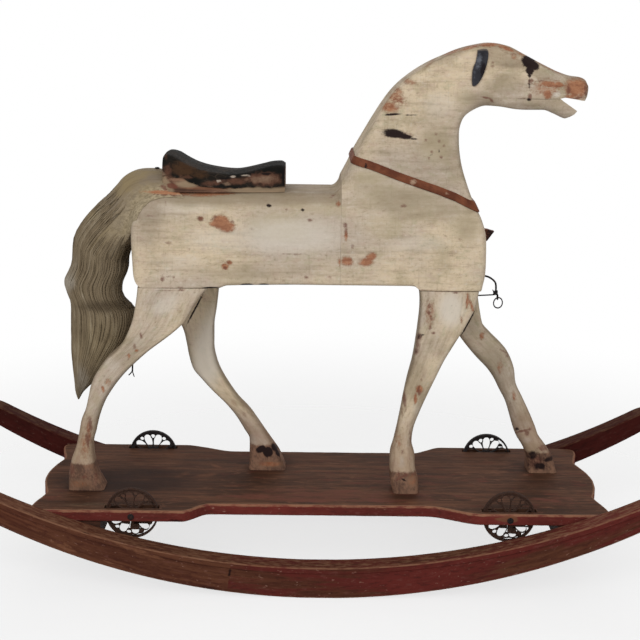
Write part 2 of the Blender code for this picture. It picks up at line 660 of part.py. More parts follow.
def leg_piece(node, leg):
    y = leg["side"] * LEG_Y
    rings = []
    for rear_x, rear, front_x, front, width in leg["ribs"]:
        half = LEG_THICKNESS / 2 * width
        rear_point = (leg["from"] + rear_x, SOLE_Z + rear * LEG_HEIGHT)
        front_point = (leg["from"] + front_x, SOLE_Z + front * LEG_HEIGHT)
        rings.append(plank_section(front_point, rear_point, y, half, LEG_ROUND, LEG_ROUND, steps=2))
    made = add(node, skin(rings), "cream paint", smooth=40)
    combine(made, guide(node + "_tenon", tenon_box(leg)), "UNION")
    x = sole_middle(leg)
    depth = SCREW_LENGTH - BOARD_THICKNESS + 2 * GAP
    hole = rod(SCREW_RADIUS + GAP, (x, y, SOLE_Z - CUT_PAST), (x, y, SOLE_Z + depth), 8)
    combine(made, guide(node + "_screw_hole", hole))
    return made


def hoof_screw(node, leg):
    """Countersunk in the board's underside and driven up into the hoof."""
    foot = BOARD_UNDERSIDE + GAP
    head = foot + SCREW_HEAD_DEPTH
    tip = foot + SCREW_LENGTH - GAP
    profile = [(0, foot), (SCREW_HEAD_RADIUS, foot), (SCREW_HEAD_RADIUS, head), (SCREW_RADIUS, head),
               (SCREW_RADIUS, tip - SCREW_POINT), (0, tip)]
    place = (sole_middle(leg), leg["side"] * LEG_Y, 0)
    return add(node, lathe(profile, 8), "rusty iron", location=place, smooth=40)


# Saddle: a carved block under a leather skin. Each station is
# (share of the length, height above the back, share of the half width)

SADDLE_STATIONS = [
    (0.000, 0.0460, 0.80), (0.035, 0.0520, 0.90), (0.080, 0.0500, 0.96), (0.160, 0.0410, 1.00),
    (0.270, 0.0325, 1.00), (0.390, 0.0265, 0.98), (0.520, 0.0245, 0.94), (0.640, 0.0262, 0.90),
    (0.760, 0.0302, 0.86), (0.870, 0.0350, 0.82), (0.950, 0.0385, 0.78), (1.000, 0.0365, 0.70),
]
SKIN_HEMS = [0.30, 0.26, 0.30, 0.36, 0.40, 0.38, 0.44, 0.40, 0.46, 0.50, 0.44, 0.40]
SADDLE_ROUND = 0.0150
SADDLE_SLOPE = 0.0060
SADDLE_CROWN = 0.0012


def saddle_arch(height, half, hem, offset=0.0):
    """Half-round shouldered arch from one lower edge over the top to the other."""
    radius = min(SADDLE_ROUND, 0.7 * height)
    side = []
    foot = (half + SADDLE_SLOPE + offset, hem * height)
    side.append(foot)
    for k in range(4):
        angle = pi / 2 * k / 3
        side.append((half - radius + (radius + offset) * cos(angle),
                     height - radius + (radius + offset) * sin(angle)))
    side.append((half * 0.35, height + offset + SADDLE_CROWN))
    return side + [(-y, z) for y, z in reversed(side)]


def saddle_block(node):
    rings = []
    for share, height, width in SADDLE_STATIONS:
        x = SADDLE_REAR_X + SADDLE_LENGTH * share
        arch = saddle_arch(height - SEAT_GAP, SADDLE_WIDTH / 2 * width, 0.0)
        rings.append([(x, y, BACK_Z + SEAT_GAP + z) for y, z in arch])
    return add(node, skin(rings), "worn brown wood", smooth=40)


def saddle_leather(node):
    """A skin of even thickness over the block, with a worn wavy hem and closed ends."""
    rings = []
    for k, (share, height, width) in enumerate(SADDLE_STATIONS):
        x = SADDLE_REAR_X + SADDLE_LENGTH * share
        half = SADDLE_WIDTH / 2 * width
        hem = SKIN_HEMS[k]
        outer = saddle_arch(height, half, hem, GAP + SADDLE_SKIN)
        inner = saddle_arch(height, half, hem, GAP)
        arch = outer + inner[::-1]
        rings.append([(x, y, BACK_Z + SEAT_GAP + z) for y, z in arch])
    return add(node, skin(rings), "dark leather", smooth=40)


# Tail: a horsehair hank whose root lies on the rump. Each rib is (outer x, outer z, inner x, inner z,
# half width); x from the rump's end, z from the back. The root's own end follows as a share of its length.

TAIL_RIBS = [
    (0.0250, 0.0290, 0.0250, -0.0080, 0.052), (0.0040, 0.0275, 0.0120, -0.0220, 0.052),
    (-0.0125, 0.0185, 0.0040, -0.0380, 0.051), (-0.0300, 0.0010, 0.0010, -0.0580, 0.050),
    (-0.0520, -0.0220, -0.0030, -0.0790, 0.049), (-0.0785, -0.0470, -0.0050, -0.1030, 0.048),
    (-0.0975, -0.0760, -0.0050, -0.1240, 0.046), (-0.1030, -0.1060, -0.0090, -0.1430, 0.045),
    (-0.1080, -0.1340, -0.0140, -0.1600, 0.043), (-0.1190, -0.1570, -0.0170, -0.1780, 0.042),
    (-0.1145, -0.1820, -0.0105, -0.2010, 0.040), (-0.1100, -0.2130, -0.0080, -0.2220, 0.037),
    (-0.1095, -0.2430, -0.0310, -0.2460, 0.033), (-0.1090, -0.2730, -0.0510, -0.2750, 0.028),
    (-0.1080, -0.3030, -0.0700, -0.3040, 0.021), (-0.1060, -0.3310, -0.0860, -0.3300, 0.014),
    (-0.1030, -0.3540, -0.0960, -0.3530, 0.007),
]
ROOT_RIB = (0.0262, 0.0010, 0.046)
TAIL_LOCKS = 6
TAIL_POINTS = 24
LOCK_DEPTH = 0.10
LOCK_TWIST = 0.35
ROOT_STATIONS = 3


def tail_piece(node):
    rings = []
    rise, lift, width = ROOT_RIB
    root = [(TAIL_ROOT, rise, TAIL_ROOT, lift, width)]
    for k, (ox, oz, ix, iz, half) in enumerate(root + TAIL_RIBS):
        outer = Vector((RUMP_X + ox, BACK_Z + oz))
        inner = Vector((RUMP_X + ix, BACK_Z + iz))
        middle, reach = (outer + inner) / 2, (outer - inner) / 2
        ring = []
        depth = LOCK_DEPTH * min(1.0, k / ROOT_STATIONS)
        for n in range(TAIL_POINTS):
            angle = 2 * pi * n / TAIL_POINTS
            lobe = 1 - depth / 2 + depth / 2 * cos(TAIL_LOCKS * angle + LOCK_TWIST * k)
            s, t = cos(angle) * lobe, sin(angle) * lobe
            point = middle + reach * s
            ring.append((point.x, half * t, point.y))
        rings.append(ring)
    made = add(node, skin(rings), "horsehair", smooth=60)
    combine(made, guide(node + "_rump", skin(trunk_rings(SEAT_GAP))))
    combine(made, guide(node + "_tack_hole", tack_hole()))
    return made


def tack_place():
    root_rise = ROOT_RIB[0]
    return Vector((RUMP_X + TAIL_ROOT * 0.75, 0, BACK_Z + root_rise + TACK_LIFT))


def tack_hole():
    place = tack_place()
    sink = Vector((0, 0, TACK_LENGTH + 2 * GAP))
    return rod(TACK_RADIUS * 0.35 + GAP, place - sink, place + sink, 8)


def tail_tack(node):
    """The domed nail that holds the hank's root down on the rump."""
    shank, dome = TACK_RADIUS * 0.35, TACK_RADIUS * 0.5
    profile = [(0, -TACK_LENGTH), (shank, -TACK_LENGTH * 0.85), (shank, 0), (TACK_RADIUS, 0),
               (TACK_RADIUS * 0.75, dome * 0.75), (0, dome)]
    return add(node, lathe(profile, 10), "rusty iron", location=tack_place(), smooth=40)


# Harness and fittings

STRAP_LINE = [(-0.010, 0.0475), (0.040, 0.0390), (0.085, 0.0265), (0.130, 0.0130), (0.172, -0.0030),
              (0.212, -0.0215), (0.240, -0.0370)]


def breast_strap(node):
    """A leather band that follows the neck's own surface."""
    half = STRAP_WIDTH / 2
    upper = [(JOINT_X + x, BACK_Z + z + half) for x, z in STRAP_LINE]
    lower = [(JOINT_X + x, BACK_Z + z - half) for x, z in reversed(STRAP_LINE)]
    made = add(node, skin(forequarter_rings(LEATHER_PLAY + STRAP_THICKNESS)), "rust leather", smooth=40)
    combine(made, guide(node + "_band", prism(upper + lower, BODY_WIDTH)), "INTERSECT")
    combine(made, guide(node + "_neck", skin(forequarter_rings(LEATHER_PLAY))))
    return made


EAR_OUTLINE = [(0.2060, 0.2160), (0.2195, 0.2175), (0.2225, 0.2110), (0.2205, 0.1980), (0.2160, 0.1825),
               (0.2090, 0.1700), (0.2025, 0.1645), (0.1985, 0.1675), (0.1980, 0.1840), (0.2005, 0.1940),
               (0.2035, 0.2010)]


def ear(node, side):
    """A leather tongue laid against the side of the head."""
    outline = [(JOINT_X + x, BACK_Z + z) for x, z in EAR_OUTLINE]
    outer = HEAD_HALF_WIDTH + EAR_THICKNESS
    made = add(node, prism(outline, outer / 2, side * outer / 2), "dark leather", smooth=40)
    combine(made, guide(node + "_head", skin(forequarter_rings(LEATHER_PLAY))))
    return made


TAB_OUTLINE = [(-0.0200, 0.595), (-0.0050, 0.595), (0.0120, 0.555), (0.0135, 0.530), (0.0020, 0.430),
               (-0.0200, 0.430)]


def chest_tab(node):
    """The torn end of the breast strap, nailed to the chest."""
    outline = [(CHEST_X + x, BELLY_Z + rise * TRUNK_HEIGHT) for x, rise in TAB_OUTLINE]
    made = add(node, prism(outline, TAB_WIDTH / 2), "rust leather", smooth=40)
    combine(made, guide(node + "_chest", skin(forequarter_rings(LEATHER_PLAY))))
    return made


def wire(points, radius, sides=6):
    """A round wire with capped ends along points that lie in one XZ plane."""
    rings = []
    for k, place in enumerate(points):
        ahead = points[min(k + 1, len(points) - 1)] - points[max(k - 1, 0)]
        normal = Vector((-ahead.z, 0, ahead.x)).normalized()
        turns = [2 * pi * n / sides for n in range(sides)]
        rings.append([place + normal * radius * cos(t) + Vector((0, radius * sin(t), 0)) for t in turns])
    return skin(rings)


def smooth_route(points, steps):
    """Catmull-Rom points through a hand-chosen route."""
    places = [Vector(p) for p in points]
    places = [2 * places[0] - places[1]] + places + [2 * places[-1] - places[-2]]
    route = []
    for k in range(1, len(places) - 2):
        a, b, c, d = places[k - 1:k + 3]
        for n in range(steps):
            t = n / steps
            route.append(0.5 * (2 * b + (c - a) * t + (2 * a - 5 * b + 4 * c - d) * t ** 2
                                + (3 * b - a - 3 * c + d) * t ** 3))
    route.append(places[-2])
    return route


def eye_place():
    return Vector((CHEST_X + HOOK_REACH, HOOK_Y, BELLY_Z - HOOK_DROP))


def torus(radius, wire_radius, rings, sides, axis):
    shape = bmesh.new()
    rows = []
    for k in range(rings):
        turn = 2 * pi * k / rings
        row = []
        for n in range(sides):
            roll = 2 * pi * n / sides
            reach = radius + wire_radius * cos(roll)
            row.append(shape.verts.new((reach * cos(turn), reach * sin(turn), wire_radius * sin(roll))))
        rows.append(row)
    for k in range(rings):
        following = rows[(k + 1) % rings]
        for n in range(sides):
            m = (n + 1) % sides
            shape.faces.new((rows[k][n], following[n], following[m], rows[k][m]))
    turned = Vector(axis).to_track_quat("Z", "Y").to_matrix()
    bmesh.ops.rotate(shape, matrix=turned, verts=shape.verts)
    return shape


def hook_routes():
    """The wire's two arms, each from its driven end to the top of the eye."""
    eye = eye_place()
    top = eye.z + EYE_RADIUS
    upper = [(CHEST_X - 0.0140, HOOK_Y, BELLY_Z + 0.0190), (CHEST_X - 0.0020, HOOK_Y, BELLY_Z + 0.0185),
             (CHEST_X + 0.0090, HOOK_Y, BELLY_Z + 0.0150), (eye.x - 0.0015, HOOK_Y, BELLY_Z + 0.0080),
             (eye.x, HOOK_Y, BELLY_Z - 0.0020), (eye.x, HOOK_Y, top)]
    lower = [(CHEST_X - 0.0290, HOOK_Y, top), (CHEST_X - 0.0150, HOOK_Y, top),
             (eye.x - 0.0050, HOOK_Y, top), (eye.x, HOOK_Y, top)]
    return smooth_route(upper, 3), smooth_route(lower, 1)


def chest_hook(node):
    """A bent wire driven into the chest and the foreleg, with an eye at its outer corner."""
    shape = torus(EYE_RADIUS, WIRE_RADIUS, 12, 6, (1, 0, 0))
    made = add(node, shape, "black iron", location=eye_place(), smooth=50)
    for tag, route in zip(("upper", "lower"), hook_routes()):
        combine(made, guide(f"{node}_{tag}", wire(route, WIRE_RADIUS)), "UNION")
    return made


def hook_hole(target, route):
    """A hole along one arm, with play around it and past its driven end."""
    past = (route[0] - route[1]).normalized() * 2 * GAP
    shape = wire([route[0] + past] + route[1:], WIRE_RADIUS + GAP, 8)
    combine(target, guide(target.name + "_hook_hole", shape))


def pull_ring(node):
    """Hangs on the bottom of the eye, and swings about that wire's middle."""
    pivot = eye_place() - Vector((0, 0, EYE_RADIUS))
    drop = RING_RADIUS - WIRE_RADIUS - RING_WIRE_RADIUS - GAP
    shape = torus(RING_RADIUS, RING_WIRE_RADIUS, 20, 6, (0, 1, 0))
    bmesh.ops.translate(shape, vec=(0, 0, -drop), verts=shape.verts)
    return add(node, shape, "black iron", location=pivot, smooth=50)


# Assembly

def build():
    clear_scene()
    rocker("rocker_right", -1)
    rocker("rocker_left", 1)
    for name, x in RAIL_X.items():
        cross_rail("cross_rail_" + name, x)
        peg("locating_peg_" + name, x)

    board("platform_board")
    for end_name, end in (("rear", -1), ("front", 1)):
        for side_name, side in (("right", -1), ("left", 1)):
            place = f"{end_name}_{side_name}"
            wheel("wheel_" + place, end, side, WHEEL_TURNS[place])
            axle_pin("axle_pin_" + place, end, side)

    barrel = add("barrel", skin(trunk_rings()), "cream paint", smooth=40)
    forequarter = add("neck_and_chest", skin(forequarter_rings()), "cream paint", smooth=40)
    mouth = prism([(JOINT_X + x, BACK_Z + z) for x, z in MOUTH], BODY_WIDTH)
    combine(forequarter, guide("mouth", mouth))
    cut_dowel_holes(barrel, "barrel")
    cut_dowel_holes(forequarter, "neck_and_chest")
    for name, z in zip(("lower", "upper"), dowel_heights()):
        body_dowel("body_dowel_" + name, z)

    upper_arm, lower_arm = hook_routes()
    hook_hole(forequarter, upper_arm)
    for node, leg in LEGS.items():
        made = leg_piece(node, leg)
        if node == "leg_front_right":
            hook_hole(made, lower_arm)
        carrier = barrel if "rear" in node else forequarter
        combine(carrier, guide(node + "_mortise", tenon_box(leg, GAP)))
        hoof_screw(node.replace("leg", "hoof_screw"), leg)

    saddle_block("saddle_block")
    saddle_leather("saddle_leather")
    tail_piece("tail")
    combine(barrel, guide("barrel_tack_hole", tack_hole()))
    tail_tack("tail_tack")
    breast_strap("breast_strap")
    ear("ear_right", -1)
    ear("ear_left", 1)
    chest_tab("chest_tab")
    chest_hook("chest_hook")
    pull_ring("pull_ring")


build()
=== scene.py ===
# Rocking horse on a wheeled board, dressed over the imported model
import math
import random

import bmesh
import bpy
import numpy as np
from mathutils import Matrix, Vector, noise
from mathutils.bvhtree import BVHTree
from mathutils.geometry import delaunay_2d_cdt


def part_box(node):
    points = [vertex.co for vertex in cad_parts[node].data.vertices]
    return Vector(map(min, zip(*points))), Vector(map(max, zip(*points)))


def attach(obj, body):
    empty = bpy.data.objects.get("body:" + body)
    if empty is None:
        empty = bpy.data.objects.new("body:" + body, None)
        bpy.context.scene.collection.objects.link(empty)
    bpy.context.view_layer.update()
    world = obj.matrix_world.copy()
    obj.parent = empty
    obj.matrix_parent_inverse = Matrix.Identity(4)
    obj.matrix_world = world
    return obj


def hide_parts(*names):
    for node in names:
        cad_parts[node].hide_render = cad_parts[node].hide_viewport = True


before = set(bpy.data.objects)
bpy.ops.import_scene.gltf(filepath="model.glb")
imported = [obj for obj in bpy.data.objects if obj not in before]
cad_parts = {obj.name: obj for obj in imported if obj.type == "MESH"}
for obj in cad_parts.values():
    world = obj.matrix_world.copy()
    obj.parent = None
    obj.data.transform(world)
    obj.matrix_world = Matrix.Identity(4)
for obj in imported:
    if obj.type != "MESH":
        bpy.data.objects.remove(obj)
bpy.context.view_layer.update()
scene = bpy.context.scene
pi = math.pi

# Camera: solved from the rockers, the board and the wheels
view = {"place": (-0.0208, -2.062, 0.904), "yaw": -0.0081, "pitch": 0.24, "roll": 0.0136, "focal": 1301.0,
        "picture": 640, "sensor": 36}
turned = (Matrix.Rotation(view["yaw"], 4, "Z") @ Matrix.Rotation(pi / 2 - view["pitch"], 4, "X")
          @ Matrix.Rotation(view["roll"], 4, "Z"))
camera = bpy.data.objects.new("camera", bpy.data.cameras.new("camera"))
camera.matrix_world = Matrix.Translation(view["place"]) @ turned
camera.data.sensor_width = view["sensor"]
camera.data.lens = view["focal"] / view["picture"] * view["sensor"]
scene.collection.objects.link(camera)
scene.camera = camera


def seen(px, py, y):
    # The point at which a pixel of the picture meets the upright plane at y
    half = view["picture"] / 2
    ray = turned.to_3x3() @ Vector(((px - half) / view["focal"], (half - py) / view["focal"], -1))
    return Vector(view["place"]) + ray * ((y - view["place"][1]) / ray.y)


def pictured(points):
    # Where points fall in the picture, in pixels
    local = (points - np.array(view["place"])) @ np.array(turned.to_3x3())
    half, reach = view["picture"] / 2, view["focal"] / -local[:, 2]
    return half + reach * local[:, 0], half - reach * local[:, 1]


def clamped(value):
    return min(1, max(0, value))


def around(count):
    return [2 * pi * k / count for k in range(count)]


# Colours, linear
tones = {
    "cream": (0.665, 0.535, 0.372),
    "greyPink": (0.505, 0.415, 0.325),
    "olive": (0.450, 0.375, 0.240),
    # This brown darkens the paint as dirt in its streaks, and as painted shade on edges that turn from the
    # light
    "grimeAndShade": (0.175, 0.125, 0.075),
    "bare": (0.400, 0.172, 0.088),
    "bareDeep": (0.250, 0.092, 0.046),
    "redBrown": (0.150, 0.060, 0.042),
    "nearBlack": (0.016, 0.009, 0.009),
    "chalk": (0.665, 0.600, 0.515),
    # This tone dulls the paint in marked patches; on the back's upper strip and low on the barrel it is
    # painted shade
    "dullAndShade": (0.225, 0.170, 0.112),
    "pink": (0.480, 0.340, 0.270),
    "green": (0.375, 0.360, 0.225),
    "hoof": (0.215, 0.110, 0.068),
    "hoofDeep": (0.085, 0.042, 0.030),
}


def coloured(value):
    # A tone's name, its linear parts or a socket, as a socket takes it
    return value if isinstance(value, Tap) else (*tones.get(value, value), 1)


def shaded(colour, share):
    return tuple(share * part for part in colour)


# Shader sockets with arithmetic
class Tap:
    def __init__(self, tree, socket=None):
        self.tree = tree
        self.socket = socket

    def feed(self, ends, values):
        for key, value in values.items():
            if isinstance(value, Tap):
                self.tree.links.new(value.socket, ends[key])
            else:
                ends[key].default_value = value

    def node(self, kind, settings, inputs, output=0):
        made = self.tree.nodes.new("ShaderNode" + kind)
        for name, value in settings.items():
            setattr(made, name, value)
        self.feed(made.inputs, inputs)
        return Tap(self.tree, made.outputs[output])

    def math(self, operation, *values):
        return self.node("Math", {"operation": operation}, dict(enumerate(values)))

    def __add__(self, other):
        return self.math("ADD", self, other)

    def __radd__(self, other):
        return self.math("ADD", other, self)

    def __sub__(self, other):
        return self.math("SUBTRACT", self, other)

    def __rsub__(self, other):
        return self.math("SUBTRACT", other, self)

    def __mul__(self, other):
        return self.math("MULTIPLY", self, other)

    def __rmul__(self, other):
        return self.math("MULTIPLY", other, self)

    def larger(self, other):
        return self.math("MAXIMUM", self, other)

    def ramp(self, low, high):
        # 0 below low, 1 above high, and smooth between; a low above high turns it round
        return self.node("MapRange", {"interpolation_type": "SMOOTHSTEP"}, {0: self, 1: low, 2: high})

    def mixed(self, first, second):
        # The first colour where this mask is 0, the second where it is 1
        return self.node("Mix", {"data_type": "RGBA"}, {0: self, 6: coloured(first), 7: coloured(second)}, 2)

    def between(self, low, high, first, second):
        return self.ramp(low, high).mixed(first, second)

    def coats(self, *rows):
        # Each coat: its mask, the mask's low and high end, its share and its colour
        colour = self
        for mask, low, high, share, tone in rows:
            colour = (mask.ramp(low, high) * share).mixed(colour, tone)
        return colour


class Finish:
    # One material: its coordinates, its masks and its shader
    def __init__(self, name, lofted=True):
        self.material = bpy.data.materials.new(name)
        self.material.use_nodes = True
        self.shader = self.material.node_tree.nodes["Principled BSDF"]
        self.start = Tap(self.material.node_tree)
        self.place = self.mark("grain", 1) if lofted else self.inSpace()

    def inSpace(self):
        return self.start.node("TexCoord", {}, {}, 3)

    def mark(self, name, output=2):
        return self.start.node("Attribute", {"attribute_name": name}, {}, output)

    def stretched(self, scales):
        return self.start.node("VectorMath", {"operation": "MULTIPLY"}, {0: self.place, 1: scales})

    def noise(self, scales, detail=3, roughness=0.55, distortion=0.0):
        values = {"Scale": 1.0, "Detail": detail, "Roughness": roughness, "Distortion": distortion}
        return self.start.node("TexNoise", {}, {"Vector": self.stretched(scales), **values})

    def noises(self, *kinds):
        # Each kind: three scales, then the detail, roughness and distortion
        return [self.noise(kind[:3], *kind[3:]) for kind in kinds]

    def cracks(self, scales):
        # Distance to the nearest crack
        return self.start.node("TexVoronoi", {"feature": "DISTANCE_TO_EDGE"},
                               {"Vector": self.stretched(scales), "Scale": 1.0})

    def height(self, low, high):
        # 1 at the low height and 0 at the high one
        return self.start.node("SeparateXYZ", {}, {0: self.inSpace()}, 2).ramp(high, low)

    def done(self, colour, roughness, relief=None, strength=0.3, distance=0.0008, specular=0.05):
        ends = {"Base Color": colour, "Roughness": roughness, "Specular IOR Level": specular}
        if relief is not None:
            ends["Normal"] = self.start.node("Bump", {}, {"Strength": strength, "Distance": distance,
                                                          "Height": relief})
        self.start.feed(self.shader.inputs, ends)
        return self.material


def agedPaint(name, warmth, worn, low=None):
    # Old cream paint on carved pine: streaks along the grain, chips with dark rims, and painted marks
    work = Finish(name, low is not None)
    mark = work.mark
    broad, patchy, tint, mottle = work.noises((7, 9, 9, 2), (24, 30, 34, 5, 0.62), (62, 80, 95, 3, 0.6),
                                              (150, 230, 250, 4, 0.72))
    streaks, hairs, weave, ragged = work.noises((11, 95, 130, 4, 0.6), (26, 420, 560), (520, 60, 40, 2),
                                                (170, 260, 260, 5, 0.75))
    patch, streak, spread = patchy - 0.5, streaks - 0.5, (ragged - 0.5) * 1.5
    colour = broad.between(0.34, 0.66, "cream", "greyPink").coats(
        (patchy, 0.46, 0.70, warmth, "olive"), (patchy, 0.44, 0.26, 0.30, "chalk"),
        (tint, 0.50, 0.72, 0.42, "pink"), (tint, 0.46, 0.26, 0.42, "green"),
        (streaks, 0.48, 0.76, 0.34, "grimeAndShade"), (streaks, 0.46, 0.26, 0.20, "chalk"),
        (hairs, 0.55, 0.78, 0.24, "grimeAndShade"), (weave, 0.54, 0.78, 0.20, "grimeAndShade"),
        (mottle, 0.52, 0.74, 0.46, "grimeAndShade"), (mottle, 0.48, 0.26, 0.46, "chalk"),
        (mark("olive") + patch * 0.5, 0.10, 1.00, 0.60, "olive"),
        (mark("pale") + spread * 0.35, 0.15, 0.95, 0.75, "chalk"),
        (mark("dullAndShade") + patch * 0.7 + streak * 0.5, 0.05, 1.10, 0.62, "dullAndShade"),
        # Edges that turn from the side darken with this brown: painted shade, with some grime
        (mark("edge") + patch * 0.7, 0.10, 1.05, 0.66, "grimeAndShade"))
    if low is not None:
        horn = (patchy * 0.5 + ragged * 0.5).between(0.42, 0.58, "hoof", "hoofDeep")
        colour = colour.coats((work.height(0.165, 0.330) + patch * 1.1, 0.20, 1.20, 0.55, "hoof"),
                              (work.height(low - 0.010, low + 0.012) + spread * 0.5, 0.40, 0.70, 0.90, horn))
    chips, specks = work.noises((85, 150, 150, 5, 0.7), (210, 330, 330, 3, 0.6))
    orange = mark("orange") + spread
    lost = chips.ramp(0.735 - worn, 0.775 - worn).larger(orange.ramp(0.26, 0.90))
    wood = (streaks * 0.5 + ragged * 0.5).between(0.40, 0.60, "bare", "bareDeep")
    colour = (lost * 0.90).mixed(colour.coats((orange, 0.10, 0.50, 0.25, "grimeAndShade")), wood).coats(
        (mark("red") + spread * 1.1, 0.30, 1.20, 0.80, "redBrown"),
        (specks, 0.735 - worn * 0.6, 0.76 - worn * 0.6, 0.60, "redBrown"),
        (mark("dark") + spread * 0.5 + streak * 0.6, 0.24, 0.74, 0.985, "nearBlack"))
    relief = streaks * 0.5 + hairs * 0.35 + ragged * 0.25 - lost * 0.8
    return work.done(colour, patchy * 0.25 + 0.55, relief, 0.35, 0.0007)


def oxblood(name, brown, depth=1.0):
    # Dark red paint worn through to brown wood along the arrises; a low depth darkens it
    work = Finish(name)
    broad, streaks, fine, ragged, specks = work.noises(
        (6, 24, 24), (9, 130, 170, 4, 0.6), (34, 520, 620), (60, 200, 200, 4, 0.65), (120, 260, 260))
    rough = ragged - 0.5
    rubbed = work.mark("edge") + rough * 1.4
    red = broad.between(0.30, 0.70, shaded((0.108, 0.020, 0.016), depth),
                        shaded((0.074, 0.016, 0.013), depth))
    wood = streaks.between(0.34, 0.66, shaded((0.112, 0.046, 0.024), depth),
                           shaded((0.060, 0.023, 0.013), depth))
    colour = red.coats(
        (broad * 0.7 + streaks * 0.6, 0.70 - brown, 0.86 - brown, 0.8, wood),
        (streaks, 0.58, 0.84, 0.40, (0.022, 0.009, 0.008)),
        (fine, 0.58, 0.76, 0.30, shaded((0.180, 0.070, 0.045), depth)),
        (ragged, 0.52, 0.66, 0.50, shaded((0.040, 0.012, 0.010), depth)),
        (ragged, 0.44, 0.32, 0.30, shaded((0.150, 0.060, 0.050), depth)),
        (rubbed, 0.70, 1.10, 0.70, shaded((0.240, 0.120, 0.070), depth)),
        (work.mark("orange") + rough * 1.3, 0.40, 0.66, 0.8, (0.165, 0.070, 0.038)),
        (work.mark("dark") + rough * 0.8, 0.38, 0.62, 0.9, (0.012, 0.006, 0.006)),
        (specks, 0.65, 0.72, 0.6, shaded((0.230, 0.120, 0.090), depth)))
    relief = streaks * 0.6 + ragged * 0.3 - rubbed.ramp(0.7, 1.1) * 0.4
    return work.done(colour, streaks * 0.2 + 0.62, relief, 0.35, 0.0006, 0.02)


def planked(name, pale, deep, red=0.0, lofted=False):
    # Stained plank with long grain, scuffed light in places and dark in its pores
    work = Finish(name, lofted)
    broad, grain, pores, blots, scuffs = work.noises(
        (5, 13, 16, 4, 0.6), (7, 120, 150, 5, 0.66, 0.4), (36, 600, 700), (20, 60, 38, 5, 0.65),
        (26, 95, 95, 4, 0.7, 1.2))
    blot, scuff = blots - 0.5, (scuffs - 0.5) * 1.2
    colour = grain.between(0.38, 0.62, deep, pale).coats(
        (broad, 0.42, 0.66, 0.65, shaded(deep, 0.40)), (blots, 0.54, 0.72, red, (0.110, 0.034, 0.022)),
        (pores, 0.54, 0.72, 0.60, shaded(deep, 0.30)), (scuffs, 0.54, 0.70, 0.45, shaded(pale, 1.7)),
        (scuffs, 0.46, 0.32, 0.45, shaded(deep, 0.6)),
        (work.mark("orange") + scuff, 0.1, 1.0, 0.70, (0.170, 0.072, 0.038)),
        (work.mark("olive") + blot * 0.8, 0.1, 1.0, 0.6, (0.34, 0.26, 0.165)),
        (work.mark("red") + blot * 1.2, 0.40, 0.75, 0.85, (0.140, 0.048, 0.032)),
        (work.mark("dark") + blot * 0.8 + scuff, 0.25, 1.1, 0.80, (0.018, 0.009, 0.007)),
        (work.mark("edge") + blot, 0.50, 1.05, 0.70, (0.270, 0.145, 0.090)))
    relief = grain * 0.7 - pores.ramp(0.55, 0.8) * 0.6 + blots * 0.2
    return work.done(colour, grain * 0.2 + 0.62, relief, 0.4, 0.0008)


def iron(name, rust, deep=(0.009, 0.008, 0.009), pale=(0.026, 0.022, 0.021)):
    # Cast or drawn iron, dark and dry, with rust bloom
    work = Finish(name, False)
    bloom, pits = work.noises((130, 130, 130, 5, 0.65), (600, 600, 600))
    colour = pits.between(0.35, 0.68, deep, pale).coats(
        (bloom, 0.66 - rust, 0.82 - rust, 0.85, (0.052, 0.024, 0.016)))
    return work.done(colour, bloom * 0.25 + 0.62, pits * 0.7 + bloom * 0.5, 0.5, 0.0006)


def saddleSkin():
    # Black leather, crazed and rubbed brown, with a dull shine
    work = Finish("black_saddle_leather")
    mark = work.mark
    broad, pebble, ragged = work.noises((16, 16, 16), (420, 420, 420), (120, 150, 150, 4, 0.65))
    creases, spread = work.cracks((60, 95, 95)), (ragged - 0.5) * 1.4
    colour = broad.between(0.36, 0.66, (0.008, 0.008, 0.007), (0.019, 0.015, 0.012)).coats(
        (creases, 0.05, 0.0, broad.ramp(0.44, 0.66) * 0.45, (0.105, 0.075, 0.055)),
        (mark("orange") + spread, 0.20, 1.05, 0.85, (0.066, 0.034, 0.018)),
        (mark("red") + spread, 0.22, 1.10, 0.82, (0.120, 0.056, 0.036)),
        (mark("olive") + spread, 0.22, 1.05, 0.80, (0.245, 0.160, 0.106)),
        (mark("pale") + spread, 0.36, 0.80, 0.85, (0.450, 0.370, 0.300)),
        (mark("dark") + spread * 0.6, 0.40, 0.66, 0.9, (0.010, 0.008, 0.008)),
        (mark("edge") + spread, 0.80, 1.20, 0.6, (0.125, 0.088, 0.060)))
    relief = pebble * 0.4 + ragged * 0.4 - creases.ramp(0.06, 0.0) * 0.6
    return work.done(colour, ragged * 0.2 + 0.60, relief, 0.35, 0.0006, 0.02)


def strapSkin(name, face, deep, rubbed, fadedAndHighlight):
    # Thin leather: fine pores, rubbed along its edges
    work = Finish(name)
    broad, pebble, scuffs, ragged = work.noises((40, 40, 40, 4, 0.6), (520, 520, 520), (60, 420, 420),
                                                (150, 210, 210, 5, 0.7))
    colour = broad.between(0.36, 0.64, face, deep).coats(
        (scuffs, 0.55, 0.78, 0.5, shaded(deep, 0.45)),
        (work.mark("edge") + (broad - 0.5) * 1.2, 0.55, 1.0, 0.7, rubbed),
        # Pale marks take the last colour: faded leather on the strap, a painted highlight on the ear
        (work.mark("pale") + (ragged - 0.5) * 1.6, 0.20, 0.95, 0.85, fadedAndHighlight),
        (work.mark("dark") + (pebble - 0.5) * 0.8, 0.42, 0.6, 0.9, (0.012, 0.009, 0.010)))
    return work.done(colour, broad * 0.3 + 0.48, pebble * 0.6 + scuffs * 0.6, 0.35, 0.0005)


